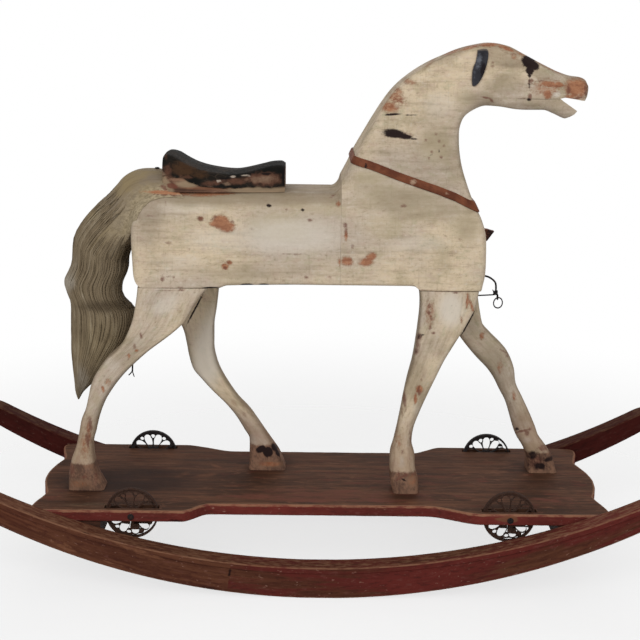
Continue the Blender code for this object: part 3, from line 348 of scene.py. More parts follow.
def horsehair():
    # Faded hair: each lock has its own tone, and soft patches lie over all of them
    work = Finish("faded_horsehair")
    streaks, drift = work.noises((14, 500, 500), (26, 26, 26, 2))
    work.place = work.inSpace()
    patches, fine = work.noises((55, 40, 24, 3, 0.6), (300, 300, 60, 3, 0.6))
    lock = work.mark("tone") * 0.30 + drift * 0.20 + patches * 0.62 + fine * 0.25 - 0.13
    spread = (patches - 0.5) * 0.9
    colour = lock.between(0.26, 0.56, (0.105, 0.076, 0.045), (0.215, 0.165, 0.105)).coats(
        (lock, 0.56, 0.86, 1, (0.330, 0.275, 0.195)), (streaks, 0.50, 0.78, 0.30, (0.085, 0.060, 0.036)))
    colour = (work.mark("shade") * 0.75).mixed(colour, (0.080, 0.056, 0.032)).coats(
        (work.mark("olive") + spread, 0.1, 1.0, 0.55, (0.330, 0.260, 0.150)),
        (work.mark("dark") + spread, 0.10, 1.0, 0.70, (0.055, 0.038, 0.023)),
        # The pale layer lightens the locks: on their outer side and the lower bump it is a painted highlight
        (work.mark("pale") + spread, 0.10, 1.1, 0.60, (0.420, 0.385, 0.330)))
    return work.done(colour, 0.60, streaks, 0.4, 0.0006)


def rumpHide():
    # The tail's bound root: matted and smooth, greyish brown, painted over where it meets the rump
    work = Finish("matted_root")
    broad, combed = work.noises((26, 26, 26), (22, 210, 210, 4, 0.6))
    work.place = work.inSpace()
    mottle = work.noise((150, 230, 250), 4, 0.72)
    spread = (mottle - 0.5) * 1.6
    colour = broad.between(0.34, 0.66, (0.270, 0.205, 0.112), (0.225, 0.178, 0.128)).coats(
        (combed, 0.50, 0.76, 0.5, (0.125, 0.088, 0.050)), (combed, 0.44, 0.24, 0.40, (0.370, 0.305, 0.210)))
    # Past the root the core darkens: painted shade between the locks
    colour = (work.mark("edge") * 0.8).mixed(colour, (0.150, 0.112, 0.068))
    painted = mottle.between(0.36, 0.64, (0.430, 0.350, 0.232), (0.250, 0.200, 0.128))
    colour = work.mark("painted").mixed(colour, painted).coats(
        (work.mark("orange") + spread, 0.30, 0.95, 0.85, "bare"),
        (work.mark("red") + spread, 0.30, 1.10, 0.80, "redBrown"))
    return work.done(colour, 0.62, combed + mottle * 0.5, 0.4, 0.0008)


print("materials")
paints = {
    "barrel": agedPaint("cream_paint_barrel", 0.50, 0.010),
    "neck": agedPaint("cream_paint_neck", 0.62, 0.015),
    "front": agedPaint("cream_paint_forelegs", 0.50, 0.040, 0.164),
    "rear": agedPaint("cream_paint_hind_legs", 0.55, 0.045, 0.172),
}
skins = {
    "saddle": saddleSkin(),
    "strap": strapSkin("rust_strap_leather", (0.185, 0.064, 0.032), (0.110, 0.036, 0.020),
                       (0.055, 0.020, 0.013), (0.420, 0.290, 0.200)),
    # The ear's last colour is its painted highlight
    "ear": strapSkin("slate_ear_leather", (0.040, 0.040, 0.046), (0.018, 0.017, 0.020),
                     (0.200, 0.165, 0.140), (0.150, 0.160, 0.185)),
}
woods = {
    "rocker": oxblood("oxblood_rocker_paint", 0.08),
    "rockerBrown": oxblood("rocker_paint_worn_brown", 0.42),
    # The left rocker's copy is darkened all over: painted shade under the board
    "rockerFar": oxblood("oxblood_rocker_paint_shaded", -0.10, 0.44),
    "boardEdge": oxblood("oxblood_board_edge", -0.06, 1.35),
    "board": planked("worn_board_top", (0.128, 0.058, 0.034), (0.064, 0.030, 0.018), 0.80, True),
    "rail": planked("worn_rail_wood", (0.060, 0.028, 0.018), (0.026, 0.012, 0.009), 0.30),
    "bare": planked("bare_dowel_wood", (0.330, 0.215, 0.120), (0.210, 0.130, 0.070)),
    "saddle": planked("red_brown_saddle_wood", (0.240, 0.135, 0.085), (0.110, 0.055, 0.036), 0.40, True),
}
irons = {
    "cast": iron("black_cast_iron", 0.02, (0.016, 0.013, 0.014), (0.046, 0.038, 0.037)),
    "brown": iron("brown_cast_iron", 0.17, (0.028, 0.014, 0.010), (0.066, 0.038, 0.028)),
    "rusty": iron("rusty_iron", 0.12),
}
hairs = {"locks": horsehair(), "root": rumpHide()}


# Meshes from rows of points
def smoothRows(rows, spacing):
    # A monotone curve through rows whose first four columns are two points in XZ
    rows = np.array(rows, float)
    steps = np.diff(rows, axis=0)
    gaps = np.maximum(np.hypot(steps[:, 0], steps[:, 1]), np.hypot(steps[:, 2], steps[:, 3]))
    gaps = np.maximum(gaps, 1e-4)
    rates = steps / gaps[:, None]
    slopes = np.vstack([rates[:1], np.gradient(rows, np.concatenate([[0], np.cumsum(gaps)]), axis=0)[1:-1],
                        rates[-1:]])
    limit = 3 * np.minimum(np.abs(rates[:-1]), np.abs(rates[1:]))
    agree = rates[:-1] * rates[1:] > 0
    slopes[1:-1] = np.where(agree, np.clip(slopes[1:-1], -limit, limit), 0)
    made = []
    for k, gap in enumerate(gaps):
        for t in np.arange(max(1, round(gap / spacing))) / max(1, round(gap / spacing)):
            made.append((2 * t ** 3 - 3 * t ** 2 + 1) * rows[k] + (t ** 3 - 2 * t ** 2 + t) * gap * slopes[k]
                        + (3 * t ** 2 - 2 * t ** 3) * rows[k + 1] + (t ** 3 - t ** 2) * gap * slopes[k + 1])
    return np.array(made + [rows[-1]])


def plankRings(rows, y, corner, side, cap):
    # Rounded rectangles: rows hold upper x, z, lower x, z, half width, upper and lower round
    upper, lower, half = rows[:, 0:2], rows[:, 2:4], rows[:, 4]
    span = np.linalg.norm(upper - lower, axis=1)
    along = (upper - lower) / span[:, None]
    arcs = []
    for turn in range(4):
        end = 1 if turn < 2 else -1
        across = 1 if turn in (0, 3) else -1
        radius = np.minimum(np.minimum(rows[:, 5 if end > 0 else 6], 0.98 * half), 0.46 * span)[:, None]
        angle = pi / 2 * (turn + np.arange(corner + 1) / corner)
        s = end * (span[:, None] / 2 - radius) + radius * np.sin(angle)
        t = across * (half[:, None] - radius) + radius * np.cos(angle)
        arcs.append(np.stack([s, t], 2))
    parts = []
    for turn in range(4):
        first, following = arcs[turn], arcs[(turn + 1) % 4]
        share = np.arange(1, side if turn % 2 else cap) / (side if turn % 2 else cap)
        parts += [first, first[:, -1:] * (1 - share)[None, :, None] + following[:, :1] * share[None, :, None]]
    flat = np.concatenate(parts, 1)
    middle = (upper + lower) / 2
    place = middle[:, None] + along[:, None] * flat[:, :, :1]
    run = np.concatenate([[0], np.cumsum(np.linalg.norm(np.diff(middle, axis=0), axis=1))])
    grain = np.stack([np.broadcast_to(run[:, None], flat.shape[:2]), flat[:, :, 1], flat[:, :, 0]], 2)
    return np.stack([place[:, :, 0], y + flat[:, :, 1], place[:, :, 1]], 2), grain


def tidied(mesh, angle=50):
    shape = bmesh.new()
    shape.from_mesh(mesh)
    bmesh.ops.recalc_face_normals(shape, faces=shape.faces)
    shape.to_mesh(mesh)
    shape.free()
    mesh.shade_smooth()
    mesh.set_sharp_from_angle(angle=math.radians(angle))
    return mesh


def store(mesh, name, values):
    # One number or three for each point
    values = np.ascontiguousarray(values, np.float32).ravel()
    kind, key = ("FLOAT", "value") if len(values) == len(mesh.vertices) else ("FLOAT_VECTOR", "vector")
    layer = mesh.attributes.get(name) or mesh.attributes.new(name, kind, "POINT")
    layer.data.foreach_set(key, values)


def shell(name, verts, faces, angle=50, **layers):
    mesh = bpy.data.meshes.new(name)
    mesh.from_pydata(verts, [], faces)
    tidied(mesh, angle)
    for layer, values in layers.items():
        store(mesh, layer, values)
    return mesh


def ringMesh(name, rings, wrapped=False, capped=True, **layers):
    # A skin over rings of points, which closes on itself or ends in two caps
    rings = np.array(rings)
    count, size = rings.shape[:2]
    index = np.arange(count * size).reshape(count, size)
    rows = np.vstack([index, index[:1]]) if wrapped else index
    beside = np.roll(rows, -1, axis=1)
    faces = np.stack([rows[:-1], rows[1:], beside[1:], beside[:-1]], -1).reshape(-1, 4).tolist()
    if capped and not wrapped:
        faces += [index[0].tolist(), index[-1].tolist()]
    return shell(name, rings.reshape(-1, 3).tolist(), faces, **layers)


def prism(name, outline, low, high):
    # A closed prism along Y from a list of X and Z
    size = len(outline)
    faces = [list(range(size)), list(range(size, 2 * size))]
    faces += [[k, (k + 1) % size, size + (k + 1) % size, size + k] for k in range(size)]
    return shell(name, [(x, y, z) for y in (low, high) for x, z in outline], faces)


def places(mesh, what="co"):
    found = np.empty(len(mesh.vertices) * 3, np.float32)
    mesh.vertices.foreach_get(what, found)
    return found.reshape(-1, 3).astype(float)


def addPiece(name, mesh, material, slotName, *stands, body="platform"):
    made = bpy.data.objects.new(name, mesh)
    scene.collection.objects.link(made)
    mesh.materials.append(material)
    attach(made, body)
    if stands:
        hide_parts(*stands)
    return made


def cutAway(piece, shape):
    # Cuts a closed mesh away, which is then deleted
    cutter = bpy.data.objects.new("cutter", shape)
    scene.collection.objects.link(cutter)
    step = piece.modifiers.new("cut", "BOOLEAN")
    step.operation, step.solver, step.object = "DIFFERENCE", "EXACT", cutter
    cut = bpy.data.meshes.new_from_object(piece.evaluated_get(bpy.context.evaluated_depsgraph_get()))
    piece.modifiers.clear()
    piece.data = cut
    bpy.data.objects.remove(cutter)
    cut.shade_smooth()
    cut.set_sharp_from_angle(angle=math.radians(50))


markLayers = ("orange", "red", "dark", "pale", "olive", "dullAndShade")
nearSide, farSide = (0, -1, 0), (0, 1, 0)


def paint(piece, marks, toward=nearSide):
    # Marks by layer: px, py, half width, half height, a turn where there is one, strength; in pixels
    mesh = piece.data
    across, down = pictured(places(mesh))
    facing = np.clip(0.6 + 2.5 * places(mesh, "normal") @ np.array(toward), 0, 1)
    for layer in markLayers:
        values = np.zeros(len(facing), np.float32)
        if layer in mesh.attributes:
            mesh.attributes[layer].data.foreach_get("value", values)
        for px, py, wide, high, *turn, strength in marks.get(layer, ()):
            c, s = math.cos(math.radians(sum(turn))), math.sin(math.radians(sum(turn)))
            dx, dz = across - px, py - down
            reach = np.hypot((dx * c + dz * s) / wide, (dz * c - dx * s) / high)
            values = np.maximum(values, np.clip(1.5 - reach, 0, 1) * facing * strength)
        store(mesh, layer, values)


def grained(mesh):
    # Grain along X for a mesh that isn't a loft
    store(mesh, "grain", places(mesh))
    if "edge" not in mesh.attributes:
        store(mesh, "edge", np.zeros(len(mesh.vertices)))


def uneven(rings, size, depth, seed):
    # Hand carving: a slow swell in and out across the grain
    away = rings - rings.mean(1, keepdims=True)
    reach = np.linalg.norm(away, axis=2, keepdims=True)
    swell = np.array([noise.noise(Vector((p[0] / size + seed, p[1] / size, p[2] / size)))
                      for p in rings.reshape(-1, 3)]).reshape(rings.shape[:2])
    return rings + away / np.maximum(reach, 1e-6) * (swell * depth)[:, :, None]


def carve(rings, dents):
    # Dents are (x, z, half width, half height, depth): pushes both flanks in, or out when negative
    made = rings.copy()
    for x, z, wide, high, depth in dents:
        reach = np.hypot((rings[:, :, 0] - x) / wide, (rings[:, :, 2] - z) / high)
        push = depth * np.clip(1 - reach ** 2, 0, 1) ** 2
        made[:, :, 1] -= np.sign(rings[:, :, 1]) * push * np.clip(np.abs(rings[:, :, 1]) / 0.012, 0, 1)
    return made


def thousandths(rows):
    # The listed tables are in millimetres, and in thousandths where a column is a share
    return [tuple(value / 1000 for value in row) for row in rows]


# The horse
horse = {"rumpX": -0.3030, "jointX": 0.0260, "chestX": 0.2590, "backZ": 0.6148, "bellyZ": 0.4658,
         "soleZ": 0.1280, "legHeight": 0.3375, "trunkHeight": 0.1490, "halfWidth": 0.0750, "legY": 0.0514,
         "legHalf": 0.0230, "spacing": 0.0024, "carving": 0.06, "edgeShadeFrom": 0.12, "edgeShadeSpan": 0.85}
backZ, bellyZ, soleZ = horse["backZ"], horse["bellyZ"], horse["soleZ"]
rumpX, jointX, chestX = horse["rumpX"], horse["jointX"], horse["chestX"]
rounds = {"back": 0.028, "belly": 0.006, "arris": 0.0007, "crest": 0.015, "throat": 0.014, "jaw": 0.012,
          "leg": 0.008, "shin": 0.015}
# Each rib: upper end forward of the rump and below the back, lower end forward and above the belly, inset
rumpRibs = thousandths([
    (0, 68, 2.5, 40, 20), (3, 41, 5.5, 16, 8.5), (11, 22.5, 10, 6, 3.5), (24, 11, 18, 0, 1),
    (42, 3, 38, 0, 0), (68, 0, 68, 0, 0), (137, 0, 137, 0, 0), (152, 0, 152, 4.5, 0), (315, 0, 315, 7, 0),
    (321.5, -3.5, 321.5, 7, 0), (325.5, -9, 325.5, 7, 0), (328.8, -19, 328.8, 7, 0)])
# Each rib: crest forward of the joint and above the back, depth as a share of the chest's length,
# rise as a share of the trunk's height, width as a share of the half width
chestRibs = thousandths([
    (0, 19.5, 0, 47, 1000), (1.2, 21.5, 215, 47, 1000), (2.6, 24, 440, 47, 1000), (4.2, 26.5, 505, 40, 1000),
    (6, 30, 545, 0, 1000), (8.5, 34.5, 800, 0, 1000), (12.5, 42.5, 946, 0, 995), (17, 52, 966, 75, 975),
    (21.5, 62, 980, 220, 945), (27.5, 73, 982, 370, 915), (34, 84.5, 978, 555, 880),
    (41.5, 98, 943, 745, 840)])
# Each rib: crest x, z and throat x, z from the joint and the back, half thickness
neckRibs = thousandths([
    (50.5, 114, 207, -12.5, 59), (62.5, 134, 195.5, 16.5, 55), (75.5, 152.5, 187, 43.5, 51),
    (90.5, 169, 182.5, 69.5, 47.5), (110.5, 185, 181.5, 93.5, 44.5), (132, 198.5, 187, 115.5, 42),
    (157, 210.5, 202.5, 129, 40), (182, 221, 223, 136, 38.5), (205, 227, 246, 134.5, 37.5),
    (227, 230.2, 268, 131, 36.5), (251, 227.5, 289, 130, 35), (279, 214.5, 311, 130, 32.5),
    (309, 199.5, 330, 124, 29.5), (336, 187.5, 349.5, 116.5, 26.5), (357, 181.5, 361.5, 116.5, 24),
    (370, 180, 369.2, 122.5, 21.5), (378.6, 175.5, 376, 135, 18.5), (383, 168, 381, 147, 13)])
# From the joint and the back: the head's hollows and swells, then the mouth's outline
headDents = thousandths([
    (288, 196, 16, 14, 3), (225, 165, 50, 36, -3), (300, 160, 30, 18, 2.2), (372, 161, 6, 5, 2.2),
    (345, 172, 22, 10, -1.2), (195, 150, 12, 30, 1.4)])
mouthLine = thousandths([
    (270, 147.9), (290.4, 147.8), (313.7, 147.6), (338.5, 148.2), (344.6, 149.7), (360.3, 147.3),
    (372.8, 145), (386.8, 144.3), (410, 144), (410, 100), (348, 100), (348, 117), (354.1, 119.7),
    (360.9, 123.8), (365.3, 129), (341.7, 144.5), (338, 147.6), (313.7, 147.1), (290.4, 147.3), (270, 147.5)])


def loftPiece(name, node, rows, material, seed, counts, y=0, depth=0.0005, dents=(), edgeGrimeAndShade=1.0):
    rings, grain = plankRings(smoothRows(rows, horse["spacing"]), y, *counts)
    rings = carve(uneven(rings, horse["carving"], depth, seed), dents)
    mesh = ringMesh(name, rings, grain=grain + np.array((seed, 0, 0)))
    # The edge mark grows where a surface turns away from the side: painted shade on tops, bottoms and rounded
    # edges, with some edge grime
    away = 1 - np.abs(places(mesh, "normal")[:, 1])
    store(mesh, "edge", np.clip(away / horse["edgeShadeSpan"] - horse["edgeShadeFrom"], 0, 1) * edgeGrimeAndShade)
    return addPiece(name, mesh, material, "horse_cream", node)


def bellyRound(x):
    # The belly's arris stays sharp where a leg meets it
    overLeg = rumpX - 0.01 < x < rumpX + 0.124 or chestX - 0.110 < x < chestX - 0.012
    return rounds["arris" if overLeg else "belly"]


print("barrel and neck")
trunkRows = [(rumpX + ux, backZ - drop, rumpX + lx, bellyZ + rise, horse["halfWidth"] - inset, rounds["back"],
              bellyRound(rumpX + lx)) for ux, drop, lx, rise, inset in rumpRibs]
barrel = loftPiece("barrel_planks", "barrel", trunkRows, paints["barrel"], 1.0, (8, 66, 22), edgeGrimeAndShade=0.70)

neckRows = []
for k, (cx, cz, depth, rise, width) in enumerate(chestRibs):
    blend = k / (len(chestRibs) - 1)
    lowX = jointX + depth * (chestX - jointX)
    neckRows.append((jointX + cx, backZ + cz, lowX, bellyZ + rise * horse["trunkHeight"],
                     horse["halfWidth"] * width, rounds["back"] + (rounds["crest"] - rounds["back"]) * blend,
                     bellyRound(lowX) + rounds["jaw"] * blend ** 2))
neckRows += [(jointX + cx, backZ + cz, jointX + tx, backZ + tz, half, rounds["crest"], rounds["throat"])
             for cx, cz, tx, tz, half in neckRibs]
neck = loftPiece("carved_neck_and_head", "neck_and_chest", neckRows, paints["neck"], 2.0, (8, 64, 18),
                 dents=[(jointX + x, backZ + z, *size) for x, z, *size in headDents], edgeGrimeAndShade=0.40)
cutAway(neck, prism("mouth_cut", [(jointX + x, backZ + z) for x, z in mouthLine], -0.08, 0.08))

barrelMarks = {
    "orange": [
        (221, 222, 9, 7, -12, 1.1), (227, 226.5, 8, 5.6, 1.1), (214, 223.5, 5, 3, 1),
        (201, 218.6, 2.6, 2, 0.8), (225, 266.5, 3.4, 3.4, 30, 1), (229.6, 262.5, 3, 2.4, 1),
        (343, 262, 5, 5, 1), (338.4, 204, 3, 3, 0.8), (168, 192.6, 25, 2, -2, 1.1),
        (213, 193.4, 26, 2.4, 3, 1.1)],
    "red": [
        (214, 218, 5, 1.4, 35, 1), (232, 222, 3, 2, 0.9), (200.2, 219, 4, 2.6, -25, 1.2),
        (169, 243, 4.6, 2.6, 0.7), (286.5, 209, 2, 1.6, 0.8), (310, 220.3, 2.8, 2, 1),
        (165.5, 203, 1.6, 2.2, 0.8), (150, 216, 9, 1.2, 0.6), (162.5, 279, 2.6, 3, 1),
        (168, 276.5, 3, 1.2, 25, 0.8), (174, 276.8, 1.8, 1.8, 0.9), (306.3, 277, 2.6, 1.9, 1),
        (329.8, 277, 2, 1.8, 0.8), (283.6, 281, 2.4, 1.4, 0.7), (225, 268, 2, 2.4, 1.1),
        (229, 262.5, 2.4, 1.4, 0.9), (287, 254, 7, 1, 0.9), (298, 254.2, 6, 1.2, 0.9),
        (332.7, 196, 4, 1.6, 25, 0.9), (176, 195.6, 32, 0.8, -3, 1), (190, 190, 22, 1.2, 2, 1.1),
        (228, 190, 13, 2.4, 0.9), (168, 187.4, 9, 3.4, 1.1), (189, 249, 2, 1.6, 0.6), (252, 229, 3, 2, 0.5),
        (170, 287.6, 20, 0.8, 0.7), (181, 287.6, 4, 1.3, 1)],
    # The last dark mark, on the belly's edge above the hind legs, is painted shadow from the gap between them
    "dark": [
        (268.9, 205, 2.6, 1.7, 1.1), (302.6, 211, 2.2, 1.8, 1.1), (247, 284.6, 6, 1.1, 1),
        (264, 284.4, 5, 1, 0.9), (285, 285, 8, 0.9, 0.7), (166, 187, 5, 2, 0.7), (211, 288.2, 8, 1.2, 1.1)],
    # The two long olive bands over the back's upper strip are partly olive paint and partly painted shade
    # where the back curves away
    "olive": [
        (280, 226, 34, 15, 0.9), (225, 194, 120, 8, 0.8), (320, 205, 30, 12, 0.7), (236, 275, 30, 12, 0.6),
        (250, 202, 120, 10, 0.6)],
    # The bands along the back's upper strip and the one low on the flank are painted shade where the barrel
    # turns from the light; the rest dull the paint
    "dullAndShade": [
        (150, 218, 16, 34, 0.75), (230, 194, 110, 6, 0.85), (300, 196, 40, 8, 0.6), (250, 198, 140, 8, 1),
        (250, 272, 60, 9, 0.55), (160, 262, 22, 16, 0.4)],
    "pale": [
        (190, 208, 40, 7, 0.5), (290, 236, 60, 20, 0.75), (225, 240, 50, 16, 0.5), (180, 262, 36, 9, 0.4)],
}
barrelFarMarks = {
    "orange": [(175, 225, 12, 8, -20, 1), (292, 262, 9, 5, 10, 1), (230, 193, 60, 2.2, 1)],
    "red": [(232, 214, 5, 3, 1), (316, 232, 3, 9, 0.9), (300, 206, 4, 2, 1)],
    "dark": [(206, 250, 2.4, 2, 1), (262, 285.5, 30, 1.4, 0.8)],
    "olive": [(250, 230, 60, 20, 0.7)],
}
neckMarks = {
    "orange": [
        (408, 81, 10, 3.2, -20, 0.65), (395, 97, 12, 6, -20, 0.7), (389, 107, 10, 6, -12, 0.85),
        (396, 90, 8, 4, -20, 0.7), (402, 104, 7, 3, 0.5), (347, 261, 6, 5, 0.9), (366, 262, 7, 4.4, 12, 1),
        (371, 257, 6, 4, 30, 1), (346, 236, 1.8, 6, 0.8), (514, 57, 3.4, 3.4, 0.6),
        (510, 51, 12, 3.4, -16, 0.45), (550, 84.5, 11, 3.4, -8, 1), (558.5, 84.6, 5, 2.6, 1.1),
        (547.5, 94, 4.6, 5.6, 0.95), (541, 90, 5, 2.6, 0.6), (547, 87, 17, 9, 0.62),
        (522, 62, 14, 5, -25, 0.35), (577, 88, 13, 11, 0.95), (571, 96.4, 7, 2.4, 8, 0.9)],
    "red": [
        (399, 100, 12, 9, 30, 0.5), (399, 135, 18, 5, -6, 0.8), (403.5, 206, 4.5, 2, 0.9),
        (346, 231, 2.2, 6, 0.8), (352.5, 246.5, 2.2, 3, 0.9), (345, 225, 2.6, 2.6, 1), (426, 140, 2, 2, 0.9),
        (432, 152, 2, 2, 0.9), (441, 157, 2.4, 2, 0.9), (444, 146, 2, 2, 0.8), (436, 134, 2, 2, 0.8),
        (429, 158, 1.8, 1.8, 0.8), (439, 141, 1.8, 2.4, 0.8), (461, 240, 3, 2.2, 0.6),
        (388, 168, 2, 1.8, 0.6), (420, 290, 30, 0.9, 0.8), (503, 57, 7, 4, 0.4),
        (492.8, 62.5, 1.8, 1.6, 0.8), (492.5, 66.4, 2.2, 1.6, 0.9), (531, 66, 11, 10, 0.55),
        (530.4, 81.5, 2.8, 4, -20, 1.1), (530, 97, 2.4, 4, 1.1), (556, 85, 5.6, 2, 0.6),
        (539, 81, 6, 1, 8, 0.9), (568.6, 90, 2.4, 6, 1), (575, 98.6, 9, 1.1, 10, 1.2), (585.6, 90, 2, 7, 1),
        (577.4, 84.6, 2.6, 2.6, 0.6), (487, 98, 6, 1.2, -12, 1.2), (491.6, 100.4, 3, 1.6, -50, 1.1),
        (523, 98.2, 8, 0.7, 3, 0.9), (488, 89, 7, 1, 25, 0.5)],
    "dark": [
        (392, 114.5, 9, 1.2, 4, 0.9), (411, 115, 8, 0.9, 0.7), (394, 133.6, 11, 4.2, -6, 1.1),
        (404, 136.4, 9, 2.6, -10, 1), (414, 139, 4, 1, 0.8), (431, 155, 5, 1, 20, 0.5),
        (439, 151, 1.2, 3, 0.5), (528.6, 61, 6.4, 6, -25, 1.2), (533.6, 65.4, 5.4, 4.2, -30, 1.2),
        (529.8, 70.4, 4, 4.6, 1.1), (529.6, 75.4, 2, 2.6, 0.9), (528.8, 99.6, 2.4, 1.8, 0.8),
        (529.4, 84, 1.3, 9, 0.55), (587, 92, 3, 9, -14, 0.35)],
    "olive": [
        (405, 200, 62, 18, -12, 0.8), (466, 226, 16, 18, 0.9), (370, 178, 20, 8, 0.9), (435, 147, 16, 18, 1),
        (385, 225, 26, 14, 0.6), (577.4, 84.6, 3.8, 3.8, 1), (466, 98, 12, 10, 0.8), (509, 82, 14, 8, 0.5),
        (538, 72, 12, 6, -25, 0.6)],
    "pale": [(420, 244, 34, 10, 0.5), (440, 105, 20, 16, 0.5), (556.6, 94.4, 4.4, 3.2, 20, 1)],
    "dullAndShade": [
        (412, 204, 56, 18, -12, 0.6), (440, 150, 44, 50, 0.55), (468, 226, 14, 26, 0.55),
        (392, 150, 20, 34, 30, 0.45), (430, 262, 40, 20, 0.35), (504, 60, 26, 8, -14, 0.9),
        (508, 84, 24, 14, 0.65), (480, 100, 20, 9, 0.8), (558, 105, 26, 8, -8, 0.6), (530, 102, 22, 7, 0.7),
        (550, 76, 16, 5, -25, 0.5), (540, 76, 22, 5, -25, 0.6), (574, 86, 14, 10, 0.55)],
}
crestMarks = {
    "orange": [
        (452, 52, 12, 2, 20, 0.7), (470, 47.4, 12, 2.2, 16, 0.8), (489, 44.6, 12, 2.4, 2, 0.9),
        (506, 48, 10, 2.4, -22, 0.85), (524, 55.4, 14, 1.8, -25, 0.7), (548, 67.2, 18, 1.8, -27, 0.6),
        (430, 63, 10, 2.2, 38, 0.5)],
    "red": [(480, 46, 22, 2, 6, 0.6), (508, 52, 12, 3, -22, 0.5)],
    "dullAndShade": [(500, 50, 34, 8, -8, 0.9), (450, 56, 26, 6, 22, 0.7)],
}
neckFarMarks = {
    "orange": [
        (400, 98, 12, 9, 30, 1), (362, 244, 8, 6, 1), (432, 236, 6, 3, 1), (575, 88.5, 12, 10, 1),
        (548, 88, 11, 6, 1), (490, 46, 22, 2.4, 4, 1)],
    "dark": [
        (419, 150, 6, 3, 20, 1), (529.5, 61.5, 7.4, 6.4, -25, 1), (530.5, 69, 4, 5, 1),
        (546, 99.4, 17, 0.9, 0.9)],
    "olive": [(410, 196, 60, 20, 0.8)],
    "red": [(380, 208, 4, 3, 1), (452, 214, 3, 6, 0.9)],
}
paint(barrel, barrelMarks)
paint(barrel, barrelFarMarks, farSide)
paint(neck, neckMarks)
paint(neck, crestMarks, (0, -0.6, 0.7))
paint(neck, neckFarMarks, farSide)

print("legs")
# Each rib: rear x and height share, front x and height share, share of the thickness
legRibs = {
    "rear_right": [
        (11.5, 1000, 123, 1000, 1000), (10.5, 970, 113, 970, 1000), (7, 905, 99, 910, 1000),
        (1.5, 835, 84.2, 835, 1000), (-7, 773, 66.8, 785, 990), (-19, 710, 47.2, 738, 970),
        (-40, 650, 26.6, 690, 940), (-56, 587, 7.4, 638, 900), (-67, 520, -14, 572, 860),
        (-72.5, 455, -32.5, 500, 820), (-77.5, 395, -46, 433, 780), (-84.8, 340, -55.5, 361, 750),
        (-89.4, 274, -61.9, 286, 740), (-94.3, 210, -67.2, 219, 780), (-102.2, 144, -65.7, 153, 880),
        (-106, 81, -61.5, 81, 970), (-107, 35, -54, 32, 990), (-107.2, 0, -49, 0, 1000)],
    "rear_left": [
        (18, 1000, 134, 1000, 1000), (18, 970, 131.5, 970, 1000), (33, 904, 129.5, 904, 1000),
        (53, 819, 126, 819, 1000), (70.5, 732, 122, 729, 970), (76.8, 654, 122, 638, 940),
        (80.8, 584, 126.5, 560, 910), (87.2, 518, 134, 503, 880), (101.2, 465, 147.5, 434, 860),
        (119.4, 404, 164.2, 364, 830), (139, 345, 182, 307, 800), (158.5, 273, 196.5, 247, 780),
        (172.5, 205, 208.5, 193, 800), (182, 151, 220.5, 139, 860), (182.5, 84, 232.5, 81, 960),
        (181.5, 0, 243.5, 0, 1000)],
    "front_right": [
        (-107.5, 1000, -14, 1000, 1000), (-106, 970, -15.5, 970, 1000), (-105, 910, -20.5, 910, 1000),
        (-107, 825, -34.5, 825, 1000), (-110.5, 741, -50, 741, 970), (-115, 657, -65, 657, 940),
        (-122, 572, -77, 572, 900), (-127.5, 488, -89, 488, 860), (-131.5, 410, -100.5, 404, 820),
        (-136, 331, -109.5, 325, 780), (-141.2, 259, -112, 253, 750), (-146.6, 187, -106.8, 187, 800),
        (-146.6, 115, -105, 115, 890), (-145.2, 60, -100.3, 60, 980), (-141.2, 0, -99.8, 0, 1000)],
    "front_left": [
        (-99, 1000, -15, 1000, 1000), (-96, 970, -14, 970, 1000), (-80, 897, -3.5, 915, 1000),
        (-61, 819, 2, 837, 980), (-40.5, 747, 8.5, 762, 960), (-21, 669, 24, 708, 940),
        (-0.5, 597, 43, 654, 920), (19, 537, 55, 609, 890), (32, 482, 65, 536, 860),
        (42, 425, 69.5, 458, 820), (52.5, 368, 81.5, 386, 780), (60.5, 301, 94.5, 307, 760),
        (67, 241, 105.5, 235, 770), (75, 181, 113, 181, 820), (86, 129, 124.5, 135, 900),
        (93, 78, 136.5, 81, 970), (95, 0, 145, 0, 1000)],
}
